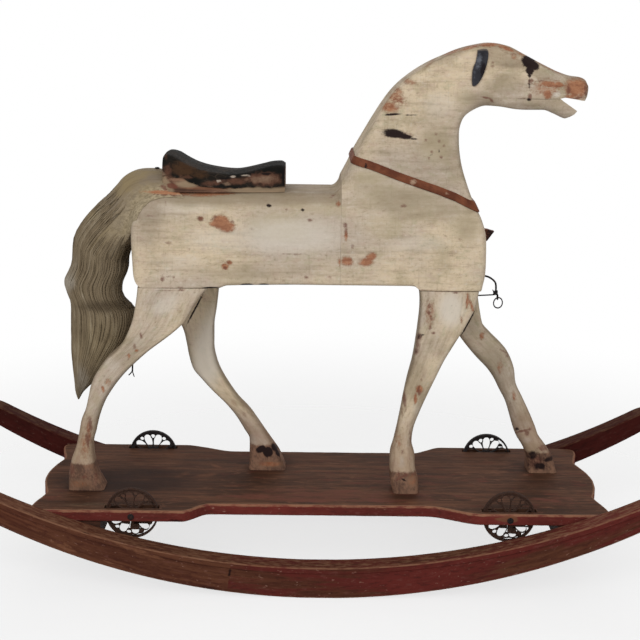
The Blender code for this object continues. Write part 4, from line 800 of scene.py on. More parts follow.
legMarks = {
    "rear_right": {
        "red": [
            (181, 290, 4, 1.6, 1), (165, 290.6, 12, 0.8, 0.9), (141, 335.5, 1.4, 4, 12, 1.2),
            (134.6, 347, 1.8, 4.4, 5, 1), (128.6, 359, 1.4, 2, 0.8), (104, 376, 2.4, 2, 0.6),
            (90.6, 424, 2, 9, 8, 1.2), (87.6, 440, 2.6, 9, 5, 1.1), (83, 410, 1.6, 5, 15, 0.5),
            (72, 470, 3, 8, 8, 0.9), (84, 477, 4, 2, 10, 0.9), (96, 478, 2.6, 9, -10, 0.8),
            (178, 306, 3, 6, 0.4), (89, 428, 4, 20, 7, 0.65), (150, 300, 10, 8, 0.3)],
        "orange": [
            (136.4, 350.6, 2, 1.6, 0.9), (129, 356, 1.6, 3, 0.9), (108, 382, 4, 4, 30, 0.6),
            (103, 389, 1.6, 4, 15, 0.9), (89, 432, 2.4, 12, 7, 0.7), (80, 484, 12, 5, 0.5),
            (180, 312, 3, 5, 20, 0.4), (85, 446, 5, 14, 5, 0.6)],
        "pale": [
            (138, 342, 8, 8, 0.4), (88, 470, 5, 3, 0.7), (78, 480, 4, 2.4, 0.6), (165, 305, 20, 10, 30, 0.6),
            (110, 362, 7, 14, 40, 0.5)],
        "olive": [(98, 402, 5, 12, 20, 0.7)],
        # The thin dark line on the thigh's front edge is a painted shadow of the gap between the hind legs
        "dark": [(195.2, 308.7, 0.9, 20, -28, 0.95)],
        "dullAndShade": [(122, 350, 22, 26, 40, 0.6), (98, 410, 10, 34, 10, 0.4)],
    },
    "rear_left": {
        # The last dark mark repeats the painted shadow of the gap between the hind legs
        "dark": [
            (261, 449, 4.6, 3.2, 20, 1.3), (268, 452, 4.6, 4.6, -30, 1.3), (275, 447, 3.4, 3.6, 50, 1.2),
            (278, 453, 2, 3.6, 20, 1.1), (195.2, 308.7, 0.9, 20, -28, 0.95)],
        # The broad pale mark over this leg's flank lightens it: painted light where the parts in front shade
        # it
        "pale": [(269, 456, 3, 1.6, 40, 0.7), (210, 350, 18, 50, -14, 0.9), (253, 440, 5, 8, 20, 0.5)],
        "orange": [(270, 464, 14, 3, 0.7), (234, 403, 2.4, 5, 40, 0.5)],
        "red": [(262, 463, 4, 3, 0.8), (244, 414, 3, 6, 35, 0.6), (258, 432, 2.4, 3, 0.4)],
        "olive": [(210, 350, 18, 50, -14, 0.6)],
    },
    "front_right": {
        "red": [
            (455.8, 292.4, 4, 1.6, 1.1), (437.5, 291.2, 4, 1.2, 0.9), (445, 292, 26, 0.8, 0.8),
            (429.5, 306, 1.8, 3, 1.1), (429, 312.5, 2.4, 2.4, 1.1), (431.4, 318, 1.6, 3, 1),
            (433.4, 333, 2.6, 1.6, 1), (430.5, 327.5, 1.6, 2.2, 1), (470, 300, 1.2, 8, 8, 0.8),
            (418.4, 337, 4.4, 4, 20, 1.2), (418, 343, 2.8, 8, 5, 1), (416, 351, 3.2, 4, 1.1),
            (404, 399, 1.8, 7, 5, 1.2), (404.6, 400, 2, 12, 6, 1.1), (402, 411, 1.2, 7, 5, 0.9),
            (419, 391, 1.8, 6, 5, 1.1), (421.4, 380, 1.6, 2, 0.8), (410.2, 434, 1.2, 12, 3, 0.9),
            (402.4, 452, 3, 3, 0.7), (396.6, 447, 1.4, 6, 0.6), (400, 478, 6, 1.6, 30, 1.1),
            (406, 475, 3.4, 2, 20, 1), (414, 474, 3, 2, -20, 1), (398, 474, 2, 4, 1)],
        "pale": [
            (451, 309, 13, 19, 0.9), (417, 408, 4, 12, 5, 0.5), (402, 462, 3, 8, 0.6),
            (408, 481, 4, 2.4, 0.8)],
        "orange": [
            (430, 314, 6, 16, 0.55), (467.2, 301, 1.4, 9, -3, 0.9), (471.6, 306, 1.6, 9, 20, 0.9),
            (461.4, 320, 1.2, 5, 10, 0.8), (419.3, 389, 3.8, 4, 1), (415.4, 399, 1.8, 6, 0.9),
            (398, 440, 4, 12, 10, 0.5), (412, 480, 6, 8, 0.5)],
        # The last dark mark is a painted shadow of the gap between the forelegs, along the right leg's front
        # edge
        "dark": [
            (418.6, 336.4, 4.2, 3.2, 20, 0.55), (415.6, 351.4, 3, 2.6, 0.5), (423, 335, 1.6, 1, 0.7),
            (404, 480, 3, 1.2, -30, 0.8), (414, 488, 2, 3, 0.5), (468, 323.3, 0.8, 17, -28.6, 0.9)],
        "dullAndShade": [(418, 380, 14, 34, 5, 0.75), (436, 345, 12, 16, 20, 0.45)],
    },
    "front_left": {
        "orange": [(482, 336, 2.6, 4, 0.8), (500, 368, 4, 8, 0.5), (514, 396, 1.8, 5, 10, 0.8)],
        "red": [
            (503, 351, 8, 1.2, -28, 0.9), (507, 356, 2, 2, 0.9), (510, 404, 1.4, 6, -8, 0.6),
            (522, 431, 8, 1.3, 12, 1.3), (527, 433, 2.4, 3, 1.1), (530, 429, 2, 2, 1), (543, 448, 6, 4, 1),
            (536, 462, 9, 8, 0.9)],
        # The fifth dark mark repeats the painted shadow of the gap between the forelegs
        "dark": [
            (517, 429, 2.2, 2, -40, 0.8), (533, 455, 6, 5, 20, 0.7), (540, 466, 7, 4, 0.8),
            (549, 459, 7, 3, 25, 0.7), (468, 323.3, 0.8, 17, -28.6, 0.9), (536, 460, 16, 12, 20, 0.42)],
        "pale": [(527, 424, 5, 4, 0.5), (527, 440, 5, 3.4, 0.6)],
        "olive": [(495, 350, 14, 18, -40, 0.6), (532, 450, 12, 9, 0.9)],
        "dullAndShade": [(500, 370, 26, 34, -30, 0.7), (515, 415, 14, 24, 0.5)],
    },
}
# Where the left-hand flank of each leg is chipped
legFarSpots = {
    "rear_right": [(181, 290), (168, 290.6), (147, 335.5), (143.6, 347)],
    "rear_left": [(261, 449), (271, 452), (281, 447), (287, 453)],
    "front_right": [(455.8, 292.4), (440.5, 291.2), (451, 292), (460, 309)],
    "front_left": [(482, 336), (506, 351), (513, 356), (509, 368)],
}
for seed, (place, ribs) in enumerate(legRibs.items()):
    end, flank = place.split("_")
    startX = rumpX if end == "rear" else chestX
    rows = []
    for rearX, rear, frontX, front, width in thousandths(ribs):
        foot = (rear + front) / 2
        shin = foot / 0.12 if foot < 0.12 else clamped((0.8 - foot) / 0.3)
        roundness = rounds["leg"] + (rounds["shin"] - rounds["leg"]) * shin
        rows.append((startX + frontX, soleZ + front * horse["legHeight"], startX + rearX,
                     soleZ + rear * horse["legHeight"], horse["legHalf"] * width, roundness, roundness))
    legY = horse["legY"] if flank == "left" else -horse["legY"]
    leg = loftPiece("carved_leg_" + place, "leg_" + place, rows, paints[end], 3.0 + seed, (6, 30, 10), legY,
                    0.0004)
    paint(leg, legMarks[place])
    paint(leg, {"red": [(px, py, 4, 3, 20, 0.9) for px, py in legFarSpots[place]]}, farSide)

print("saddle")
saddle = {"rearX": rumpX + 0.0508, "length": 0.1900, "half": 0.0560, "skin": 0.0026, "round": 0.0150,
          "gap": 0.0003, "splay": 0.006, "ridge": 0.0016, "points": 27, "spacing": 0.003, "leastHem": 0.04,
          "ragged": 0.0022, "waves": 110}
# Each station: share of the length, height, share of the half width, height share of the leather's lower edge
saddleStations = thousandths([
    (0, 48, 800, 460), (20, 51.8, 860, 460), (32, 52.4, 880, 460), (60, 52, 920, 460), (94, 50.2, 960, 450),
    (171, 41.8, 1000, 510), (249, 34.3, 1000, 410), (350, 28.4, 990, 300), (436, 25.6, 970, 290),
    (510, 24, 950, 280), (585, 23.5, 920, 280), (679, 26.2, 890, 290), (740, 29, 870, 290),
    (780, 31, 850, 280), (820, 33, 840, 230), (898, 36.7, 810, 220), (968, 37.7, 760, 220),
    (1000, 34.7, 700, 240)])


def saddleArch(height, half, hem, offset):
    # Half the arch from the leather's lower edge to the ridge, then mirrored
    radius = min(saddle["round"], 0.62 * height)
    whole = [(half + saddle["splay"] + offset, 0.0)]
    whole += [(half - radius + (radius + offset) * math.cos(pi / 2 * k / 10),
               height - radius + (radius + offset) * math.sin(pi / 2 * k / 10)) for k in range(11)]
    whole = np.array(whole + [(0.0, height + offset + saddle["ridge"])])
    run = np.concatenate([[0], np.cumsum(np.linalg.norm(np.diff(whole, axis=0), axis=1))])
    start = np.interp(hem * height, whole[:, 1], run)
    steps = start + (run[-1] - start) * np.linspace(0, 1, saddle["points"])
    side = list(zip(np.interp(steps, run, whole[:, 0]), np.interp(steps, run, whole[:, 1])))
    return side + [(-y, z) for y, z in reversed(side[:-1])]


def saddlePiece(name, material, slotName, node, leather):
    rings, edges = [], []
    rows = [(share * saddle["length"], height, share * saddle["length"], 0, width, hem)
            for share, height, width, hem in saddleStations]
    for x, height, _, _, width, hem in smoothRows(rows, saddle["spacing"]):
        half = saddle["half"] * width
        if leather:
            ragged = saddle["ragged"] * noise.noise(Vector((x * saddle["waves"], 0, 0)))
            hem = max(saddle["leastHem"], hem + ragged / height)
            outer = saddleArch(height, half, hem, saddle["gap"] + saddle["skin"])
            arch = outer + saddleArch(height, half, hem, saddle["gap"])[::-1]
            edge = [max(0, 1 - k / 3) for k in range(len(outer))]
            edges.append([max(a, b) for a, b in zip(edge, edge[::-1])] + [0] * len(outer))
        else:
            arch = saddleArch(height - saddle["gap"], half, 0.0, 0.0)
            edges.append([0] * len(arch))
        rings.append([(saddle["rearX"] + x, y, backZ + saddle["gap"] + z) for y, z in arch])
    mesh = ringMesh(name, rings, edge=edges)
    grained(mesh)
    return addPiece(name, mesh, material, slotName, node)


saddleBlock = saddlePiece("saddle_wood", woods["saddle"], "saddle_wood", "saddle_block", False)
saddleTop = saddlePiece("saddle_skin", skins["saddle"], "saddle_leather", "saddle_leather", True)
saddleMarks = {
    "olive": [(163.5, 178, 3.4, 12, 32, 1.2), (263, 179.5, 15, 4.2, 4, 0.75), (226, 183.6, 6, 2, 0.7)],
    "red": [
        (169, 176, 3.4, 12, 32, 0.9), (168.5, 172, 3.4, 9, 0.9), (264, 179, 19, 7, 1.1),
        (214, 183, 14, 3, 8, 0.9), (236, 181, 12, 4, 0.9), (166, 156, 2, 4, 0.7), (186, 177, 9, 2, 0.8)],
    "orange": [(184, 169, 13, 8, -12, 1), (200, 174, 10, 5, 0.8)],
    "dark": [(266, 174, 6, 1.4, 0.9), (284.5, 176, 2.2, 10, 1.3), (225, 178.4, 8, 1.2, 0.8)],
    "pale": [(218.7, 181, 2.6, 1.6, 1), (233, 176.7, 3.4, 1.4, 0.9), (246, 175.2, 6, 1.2, 0.8)],
}
blockMarks = {
    "olive": [(188, 184, 12, 3.6, 1.2), (164, 184, 5, 12, 40, 1.5), (222, 184, 16, 2.4, 0.9)],
    "red": [(172, 186, 7, 3, -12, 1), (210, 186, 8, 2, 0.9)],
    "dark": [(205, 181, 6, 2, -8, 1)],
}
nearBlockMarks = {
    # The thin dark line along the block's lower edge is a painted shadow under it
    "dark": [(180, 190.4, 24, 0.9, 1)],
    "orange": [(205, 188, 26, 1.8, 0.9)],
    "olive": [(262, 190, 30, 3.4, 1.6), (284, 184, 2, 8, 0.9)],
}
paint(saddleTop, saddleMarks)
paint(saddleTop, {"red": [(262, 177, 20, 6, 0.9)], "orange": [(190, 170, 16, 8, 0.9)],
                  "pale": [(226, 178, 6, 2, 1)]}, farSide)
paint(saddleBlock, blockMarks)
paint(saddleBlock, nearBlockMarks)
paint(saddleBlock, blockMarks, farSide)


def circle(across, rise, radius, sides):
    return [(across * math.cos(turn) + rise * math.sin(turn)) * radius for turn in around(sides)]


def tube(name, route, radii, sides=10):
    # A round bar along a list of points, capped at both ends
    rings = []
    for point, radius, ahead, behind in zip(route, radii, route[1:] + route[-1:], route[:1] + route[:-1]):
        way = (ahead - behind).normalized()
        across = (Vector((0, 1, 0)) - way * way.y).normalized()
        rings.append([point + spoke for spoke in circle(across, way.cross(across), radius, sides)])
    return ringMesh(name, rings)


def curved(points, steps):
    # Catmull-Rom points through a given route
    points = [Vector(p) for p in points]
    points = [2 * points[0] - points[1]] + points + [2 * points[-1] - points[-2]]
    route = []
    for k in range(1, len(points) - 2):
        a, b, c, d = points[k - 1:k + 3]
        for t in [n / steps for n in range(steps)]:
            route.append(0.5 * (2 * b + (c - a) * t + (2 * a - 5 * b + 4 * c - d) * t ** 2
                                + (3 * b - a - 3 * c + d) * t ** 3))
    return route + [points[-2]]


print("tail")
barrelTree = BVHTree.FromObject(barrel, bpy.context.evaluated_depsgraph_get())
tail = {"locks": 940, "clumps": 110, "stations": 32, "sides": 4, "thick": 0.00100, "seed": 11, "skin": 0.0006,
        "leaves": (0.20, 0.42), "length": 0.42, "turns": 72}
# Each rib: outer x, z and inner x, z from the rump's end and the back, half width
tailRibs = thousandths([
    (76, 11, 76, -1, 60), (50, 26.2, 50, 1, 60), (25.5, 29, 25.5, -6, 57), (5, 26.8, 13, -20, 54),
    (-14.2, 17.3, 4, -38, 51), (-35, -7, 0, -56, 50), (-60.5, -30.5, -6, -78.7, 49),
    (-85.5, -59, -9.5, -100, 48), (-97.2, -81.9, -10.5, -118, 46), (-100.4, -104.2, -11.2, -130, 45),
    (-101.2, -120.6, -14, -139.3, 44), (-107.8, -137.1, -18, -148, 43), (-115.6, -153.7, -21.8, -160, 42),
    (-111.8, -170.3, -22.4, -172, 41), (-105.8, -186.8, -16, -186, 40), (-106, -200, -3, -198, 38),
    (-106.7, -213.6, -0.5, -213, 36), (-107.6, -240.5, -8, -240.5, 32), (-107.8, -267.5, -25.8, -267.5, 27),
    (-106.4, -294.7, -49, -294.7, 21), (-104.6, -322.1, -70.5, -322.1, 14), (-102.4, -346.2, -92.5, -345, 7),
    (-99.7, -354.5, -97.2, -354, 4)])
tailRows = smoothRows(tailRibs, 0.004)
tailShare = np.linspace(0, 1, len(tailRows))


def resting(share):
    # 1 where the root lies on the rump, 0 once the hank hangs free
    first, last = tail["leaves"]
    return clamped((last - share) / (last - first))


def tailPoint(share, angle, depth):
    # A point of the hank: share along it, angle round it, depth 1 at its surface
    outerX, outerZ, innerX, innerZ, half = (np.interp(share, tailShare, column) for column in tailRows.T)
    c, s = math.cos(angle), math.sin(angle)
    point = Vector((rumpX + (outerX + innerX) / 2 + (outerX - innerX) / 2 * c * depth, half * s * depth,
                    backZ + (outerZ + innerZ) / 2 + (outerZ - innerZ) / 2 * c * depth))
    onRump, fall = resting(share), max(0, -c)
    if onRump > 0 and fall < 0.8:
        # The root's flanks lie on the rump and lap over its upper corners
        beside = Vector((rumpX + innerX + 0.010, math.copysign(0.078, s), backZ + innerZ + 0.004))
        found, normal, _, _ = barrelTree.find_nearest(point.lerp(beside, fall / 0.8))
        lift = tail["skin"] + 0.02 * (depth - 0.9) * (1 - fall)
        point = point.lerp(found + normal * lift, onRump * (1 - max(0, c)) ** 1.2)
    elif onRump > 0:
        point = point.lerp(Vector((rumpX + innerX + 0.015, point.y * 0.3, backZ + innerZ - 0.015)), onRump)
    return point


def tailBody():
    rings, edges, grains, painted = [], [], [], []
    for share in tailShare:
        depth = 1.0 - 0.045 * clamped((share - 0.10) / 0.2)
        # The edge mark darkens the core past the root: painted shade between the locks
        edges.append([clamped(0.9 * (share - 0.24) / 0.2)] * tail["turns"])
        rings.append([])
        for angle in around(tail["turns"]):
            c = math.cos(angle)
            furrow = 0.016 * noise.noise(Vector((3 * c, 3 * math.sin(angle), share * 1.6)) * 2.2)
            rings[-1].append(tailPoint(share, angle, depth + furrow - 0.006))
            grains.append((share * tail["length"], 0.05 * angle, 0.02 * c))
            painted.append(resting(share) * clamped((0.62 - c) / 0.6))
    mesh = ringMesh("tail_root_and_core", rings, edge=edges, painted=painted, grain=grains)
    return addPiece("tail_root_and_core", mesh, hairs["root"], "horsehair", "tail")


def tailLocks():
    draw = random.Random(tail["seed"])
    clumps = [(2 * pi * (k + draw.uniform(-0.3, 0.3)) / tail["clumps"], draw.uniform(0, 2 * pi),
               draw.random()) for k in range(tail["clumps"])]
    verts, faces, grains = [], [], []
    layers = {"tone": [], "shade": [], "pale": []}
    size, last = tail["sides"], tail["stations"] - 1
    for _ in range(tail["locks"]):
        home = 2 * pi * draw.random()
        centre, phase, tone = min(clumps, key=lambda clump: abs(math.remainder(clump[0] - home, 2 * pi)))
        lean = math.remainder(home - centre, 2 * pi)
        start = draw.uniform(0.10, 0.28) + (0.16 if math.cos(home) < 0.3 else 0)
        end = draw.uniform(0.90, 1.0) if draw.random() < 0.7 else draw.uniform(0.66, 0.92)
        layer = draw.uniform(0.940, 0.985)
        thick = tail["thick"] * draw.uniform(0.65, 1.35)
        own = 0.55 * tone + 0.45 * draw.random()
        slide = draw.uniform(0, 40)
        points = []
        for k in range(last + 1):
            share = start + (end - start) * k / last
            gather = 0.25 * clamped((share - 0.15) / 0.5)
            sway = 0.030 * math.sin(15 * share + phase) * min(1, share / 0.35)
            angle = centre + lean * (1 - gather) + sway + 0.006 * math.sin(44 * share + 2 * phase)
            bury = 0.10 * max(0, 1 - k / 5)
            ripple = 0.005 * math.sin(30 * share + phase * 2) + 0.003 * math.sin(66 * share + slide)
            points.append((tailPoint(share, angle, layer - bury + ripple), share, angle))
        base = len(verts)
        for k, (point, share, angle) in enumerate(points):
            ahead = (points[min(k + 1, last)][0] - points[max(k - 1, 0)][0]).normalized()
            across = ahead.orthogonal().normalized()
            along, c = k / last, math.cos(angle)
            width = thick * min(1, 0.35 + 3 * along) * (1 - 0.85 * max(0, (along - 0.72) / 0.28) ** 1.5)
            verts += [point + spoke for spoke in circle(across, ahead.cross(across), width, size)]
            layers["tone"] += [own] * size
            layers["shade"] += [0.60 * max(0, -c) ** 1.2] * size
            # Paler on the hank's outer side about its middle: a painted highlight
            layers["pale"] += [0.9 * max(0, c - 0.45) * max(0, 1 - abs(share - 0.52) / 0.35)] * size
            grains += [(share * tail["length"] + slide, 0.05 * lean, 0.0)] * size
        for row in range(base, base + last * size, size):
            faces += [(row + n, row + (n + 1) % size, row + size + (n + 1) % size, row + size + n)
                      for n in range(size)]
        faces += [tuple(range(base, base + size)), tuple(range(len(verts) - size, len(verts)))]
    mesh = shell("tail_locks", verts, faces, 80, grain=grains, **layers)
    return addPiece("tail_locks", mesh, hairs["locks"], "horsehair")


paint(tailBody(), barrelMarks)
paint(tailLocks(), {
    # The second dark mark, down the hank's inner edge, is painted shade where it leaves the rump
    "dark": [
        (105, 306, 30, 6, 0.9), (124, 248, 5, 20, -6, 0.9), (104, 268, 4, 16, -10, 0.5),
        (86, 340, 4, 20, 4, 0.5)],
    "olive": [(92, 214, 7, 6, 0.8), (98, 345, 26, 30, 0.55)],
    # The second pale mark, on the lower bump, is a painted highlight
    "pale": [(116, 216, 3, 8, 20, 0.6), (68, 283, 8, 9, 0.9), (82, 382, 7, 16, 0.7)],
})

print("harness and fittings")
neckTree = BVHTree.FromObject(neck, bpy.context.evaluated_depsgraph_get())
strap = {"half": 0.0064, "centreX": jointX + 0.120, "samples": 240, "reach": 0.30, "squash": 0.55,
         "halvings": 22}
strapLine = thousandths([
    (-10, 57.5), (3, 56), (15, 54.3), (24, 51.8), (39, 48), (53, 43), (85, 30.5), (116, 19.6), (148, 8.8),
    (176, -2), (198, -13), (212, -19.5), (240, -34)])
# Across the band and up from the neck, and how rubbed each point is
strapProfile = [(-1.0, 0.0004, 1), (-1.0, 0.0018, 1), (-0.8, 0.0026, 0.4), (0.0, 0.0029, 0), (0.8, 0.0026, 0),
                (1.0, 0.0018, 0.2), (1.0, 0.0004, 0.4), (0.0, 0.0002, 0)]


def strapPiece():
    lineX, lineZ = zip(*strapLine)
    rings = []
    for turn in around(strap["samples"]):
        way = Vector((math.cos(turn), strap["squash"] * math.sin(turn), 0)).normalized()
        rings.append([])
        for across, lift, _ in strapProfile:
            low, high = 0.0, strap["reach"]
            for _ in range(strap["halvings"]):
                reach = (low + high) / 2
                x = strap["centreX"] + way.x * reach
                z = backZ + np.interp(x - jointX, lineX, lineZ) + across * strap["half"]
                point = Vector((x, way.y * reach, z))
                found, normal, _, _ = neckTree.find_nearest(point)
                if (point - found).dot(normal) > 0:
                    high = reach
                else:
                    low = reach
            rings[-1].append(found + normal * lift)
    rings = np.array(rings)
    run = np.concatenate([[0], np.cumsum(np.linalg.norm(np.diff(rings[:, 3], axis=0), axis=1))])
    grain = [[(distance, across * strap["half"], 0) for across, _, _ in strapProfile] for distance in run]
    rubs = [[rub for _, _, rub in strapProfile]] * len(rings)
    mesh = ringMesh("breast_strap_leather", rings, True, grain=grain, edge=rubs)
    return addPiece("breast_strap_leather", mesh, skins["strap"], "strap_leather", "breast_strap")


paint(strapPiece(), {
    "pale": [(413, 182, 3.4, 3, 0.9), (447, 194, 3, 1.6, 0.6)],
    "dark": [(346, 161, 2.4, 4, 1), (366, 166, 2.6, 3, 0.8)],
})

earOutline = thousandths([
    (204.5, 220.8), (218, 222.4), (221.2, 215), (219.5, 200.5), (215, 185), (208, 172), (201.5, 166.2),
    (197.5, 169.2), (197, 186), (199.2, 196.5), (202, 204)])
# Each layer of an ear: its size, its lift off the head, and how rubbed it is
earLayers = [(1.0, -0.004, 1), (1.0, 0.0016, 1), (0.965, 0.0030, 0.9), (0.86, 0.0036, 0.3), (0.70, 0.0029, 0),
             (0.45, 0.0024, 0), (0.18, 0.0025, 0)]
earMarks = {
    # The pale marks are a painted highlight on the ear
    "pale": [(478.6, 62, 3.4, 9, -6, 0.62), (474.6, 74, 1.6, 5, 0.5)],
    "dark": [(483, 70, 3, 9, -10, 0.7)],
}
earLoop = curved([(jointX + x, 0, backZ + z) for x, z in earOutline + earOutline[:1]], 5)[:-1]
ear = {"middle": Vector((jointX + 0.2105, 0, backZ + 0.1910)), "level": 0.034, "least": 0.030, "far": 0.2}
for flank, side in (("left", 1), ("right", -1)):
    rings = []
    for scale, lift, _ in earLayers:
        ring = []
        for point in earLoop:
            x, _, z = ear["middle"] + (point - ear["middle"]) * scale
            hit, _, _, _ = neckTree.ray_cast(Vector((x, side * ear["far"], z)), Vector((0, -side, 0)))
            level = abs(hit.y) if hit else ear["level"]
            ring.append((x, side * (max(level, ear["least"]) + lift), z))
        rings.append(ring)
    mesh = ringMesh("ear_leather_" + flank, rings, edge=[[rub] * len(earLoop) for _, _, rub in earLayers])
    grained(mesh)
    made = addPiece("ear_leather_" + flank, mesh, skins["ear"], "ear_leather", "ear_" + flank)
    paint(made, earMarks, (0, side, 0))

tabOutline = thousandths([
    (-20, 590), (-2, 590), (4.5, 584), (10, 572), (14.6, 566), (12.2, 546), (8.5, 510), (3.5, 462),
    (-2, 446), (-20, 446)])


def rounded(mesh, width, segments=3):
    # Bevels every sharp edge of a small mesh
    shape = bmesh.new()
    shape.from_mesh(mesh)
    sharp = [edge for edge in shape.edges if len(edge.link_faces) == 2 and edge.calc_face_angle() > 0.5]
    bmesh.ops.bevel(shape, geom=sharp, offset=width, segments=segments, affect="EDGES", profile=0.5)
    shape.to_mesh(mesh)
    shape.free()
    return tidied(mesh, 60)


tabMesh = rounded(prism("chest_tab_leather", [(chestX + x, bellyZ + rise * horse["trunkHeight"])
                                              for x, rise in tabOutline], -0.006, 0.006), 0.0012)
grained(tabMesh)
paint(addPiece("chest_tab_leather", tabMesh, skins["strap"], "strap_leather", "chest_tab"),
      {"dark": [(489, 235, 7, 8, 0.75)]})


def hoop(name, centre, radius, wire, first, axis, bend=0.0, turns=40):
    # A closed ring of round wire about an axis, bent a little out of its plane
    rings = []
    for turn in around(turns):
        out = Vector(first) * math.cos(turn) + Vector((0, 0, 1)) * math.sin(turn)
        place = Vector(centre) + out * radius + Vector(axis) * bend * math.sin(2 * turn)
        rings.append([place + spoke for spoke in circle(out, Vector(axis), wire, 10)])
    return ringMesh(name, rings, True)


def joined(name, meshes):
    shape = bmesh.new()
    for mesh in meshes:
        shape.from_mesh(mesh)
    made = bpy.data.meshes.new(name)
    shape.to_mesh(made)
    shape.free()
    return tidied(made)


hook = {"wire": 0.0011, "eye": (0.278, -0.040, 0.4502), "eyeRadius": 0.0038, "ringRadius": 0.0085,
        "ring": (0.2792, -0.0400, 0.4409), "ringTurn": 10, "ringWidth": 0.86, "knot": 0.0036, "wound": 0.0012}
eyeX, eyeY, eyeZ = hook["eye"]
topZ, knotX = eyeZ + hook["eyeRadius"], eyeX - hook["knot"]
upperArm = curved([(chestX - 0.014, eyeY, bellyZ + 0.019), (chestX - 0.002, eyeY, bellyZ + 0.0185),
                   (chestX + 0.007, eyeY, bellyZ + 0.015), (knotX - 0.0010, eyeY, bellyZ + 0.008),
                   (knotX + 0.0006, eyeY, bellyZ - 0.002), (knotX, eyeY, topZ + 0.0020),
                   (eyeX, eyeY, topZ)], 8)
lowerArm = curved([(chestX - 0.029, eyeY, topZ - 0.0016), (chestX - 0.015, eyeY, topZ - 0.0016),
                   (knotX - 0.003, eyeY, topZ), (knotX, eyeY, topZ + 0.0016)], 4)
spike = curved([(knotX, eyeY - 0.001, topZ + 0.002), (knotX - 0.0026, eyeY - 0.002, topZ + 0.0045),
                (knotX - 0.0050, eyeY - 0.002, topZ + 0.0085)], 4)
# The free end wound three times round both wires beside the eye
wound = [Vector((knotX + 0.0027 * math.cos(turn), eyeY + 0.0024 * math.sin(turn),
                 topZ + 0.0004 + 0.0058 * turn / (6 * pi))) for turn in np.linspace(0, 6 * pi, 42)]
hookMesh = joined("chest_hook_wire", [
    tube("upper", upperArm, [hook["wire"] * 1.4] * len(upperArm)),
    tube("lower", lowerArm, [hook["wire"]] * len(lowerArm)),
    tube("wound", wound, [hook["wound"]] * len(wound)),
    tube("spike", spike, [0.0015 - 0.0001 * k for k in range(len(spike))]),
    hoop("eye", hook["eye"], hook["eyeRadius"], hook["wire"], (0, 1, 0), (1, 0, 0))])
addPiece("chest_hook_wire", hookMesh, irons["rusty"], "hook_iron", "chest_hook")
ringMade = hoop("pull_ring_wire", hook["ring"], hook["ringRadius"], hook["wire"], (1, 0, 0), (0, 1, 0),
                bend=0.0004, turns=56)
ringPlace = Matrix.Translation(hook["ring"])
ringShape = (Matrix.Rotation(math.radians(hook["ringTurn"]), 4, "Z")
             @ Matrix.Diagonal((hook["ringWidth"], 1, 1, 1)))
ringMade.transform(ringPlace @ ringShape @ ringPlace.inverted())
addPiece("pull_ring_wire", ringMade, irons["rusty"], "hook_iron", "pull_ring", body="pull_ring_body")

# A bent nail with a forked end under the right thigh: its root, fork and two tips
root, fork, left, right = (seen(132.6, 363.5, -0.055), seen(132.4, 371.5, -0.055), seen(128.6, 375.2, -0.057),
                           seen(134.2, 376.6, -0.053))
above = fork + Vector((0, 0, 0.001))
nailRoutes = [([root + Vector((0, 0, 0.006)), root, fork], 0.0013),
              ([above, (fork + left) / 2, left], 0.0010), ([above, (fork + right) / 2, right], 0.0008)]
nail = joined("bent_nail_under_thigh", [tube("arm", curved(route, 4), [radius] * 9)
                                        for route, radius in nailRoutes])
addPiece("bent_nail_under_thigh", nail, irons["rusty"], "rusty_iron")

print("base and board")
rocker = {"radius": 1.115, "halfLength": 0.600, "height": 0.0503, "tip": 0.0300, "thick": 0.0350,
          "spacing": 0.3180, "flat": 0.050, "chamfer": 0.0016, "nose": 0.72, "lift": 0.40, "bead": 0.0090,
          "noseShare": 0.035, "wobble": 0.0004}
# The scored line: how deep each point lies and how far above the bead, with its wear
scored = [(0, -0.0026, 0.3), (0.0009, -0.0020, 0.1), (0.0016, -0.0012, 0), (0.0009, -0.0004, 0.1),
          (0, 0.0002, 0.3)]


def rockerProfile(low, top, bead):
    # Across the thickness (0 inner, 1 outer) and up, with the edge wear of each point
    inner, outer, soft = rocker["spacing"] / 2, rocker["spacing"] / 2 + rocker["thick"], rocker["chamfer"]

    def corner(across, up, start, wear):
        turns = [math.radians(start + 30 * k) for k in range(4)]
        return [(across + soft * math.cos(turn), up + soft * math.sin(turn), wear) for turn in turns]

    points = corner(outer - soft, low + soft, -90, 0.9) + [(outer, low + soft + 0.0014, 0.1)]
    points += [(outer, low + soft + (bead - 0.0030 - low - soft) * share, wear)
               for share, wear in ((0.20, 0), (0.46, 0), (0.50, 0.42), (0.54, 0), (0.8, 0))]
    points += [(outer - inset, bead + rise, wear) for inset, rise, wear in scored]
    points += [(outer, (bead + top) / 2, 0.05), (outer, top - soft - 0.0008, 0.15)]
    points += corner(outer - soft, top - soft, 0, 1)
    points += [(outer - soft + (inner - outer + 2 * soft) * share, top, 0.85)
               for share in (0.05, 0.30, 0.5, 0.70, 0.95)]
    points += corner(inner + soft, top - soft, 90, 0.9)
    points += [(inner, top - soft + (low - top + 2 * soft) * share, 0) for share in (0.05, 0.33, 0.66, 0.95)]
    points += corner(inner + soft, low + soft, 180, 0.6)
    return points + [(inner + soft + (outer - inner - 2 * soft) * share, low, 0.35) for share in (0.33, 0.66)]


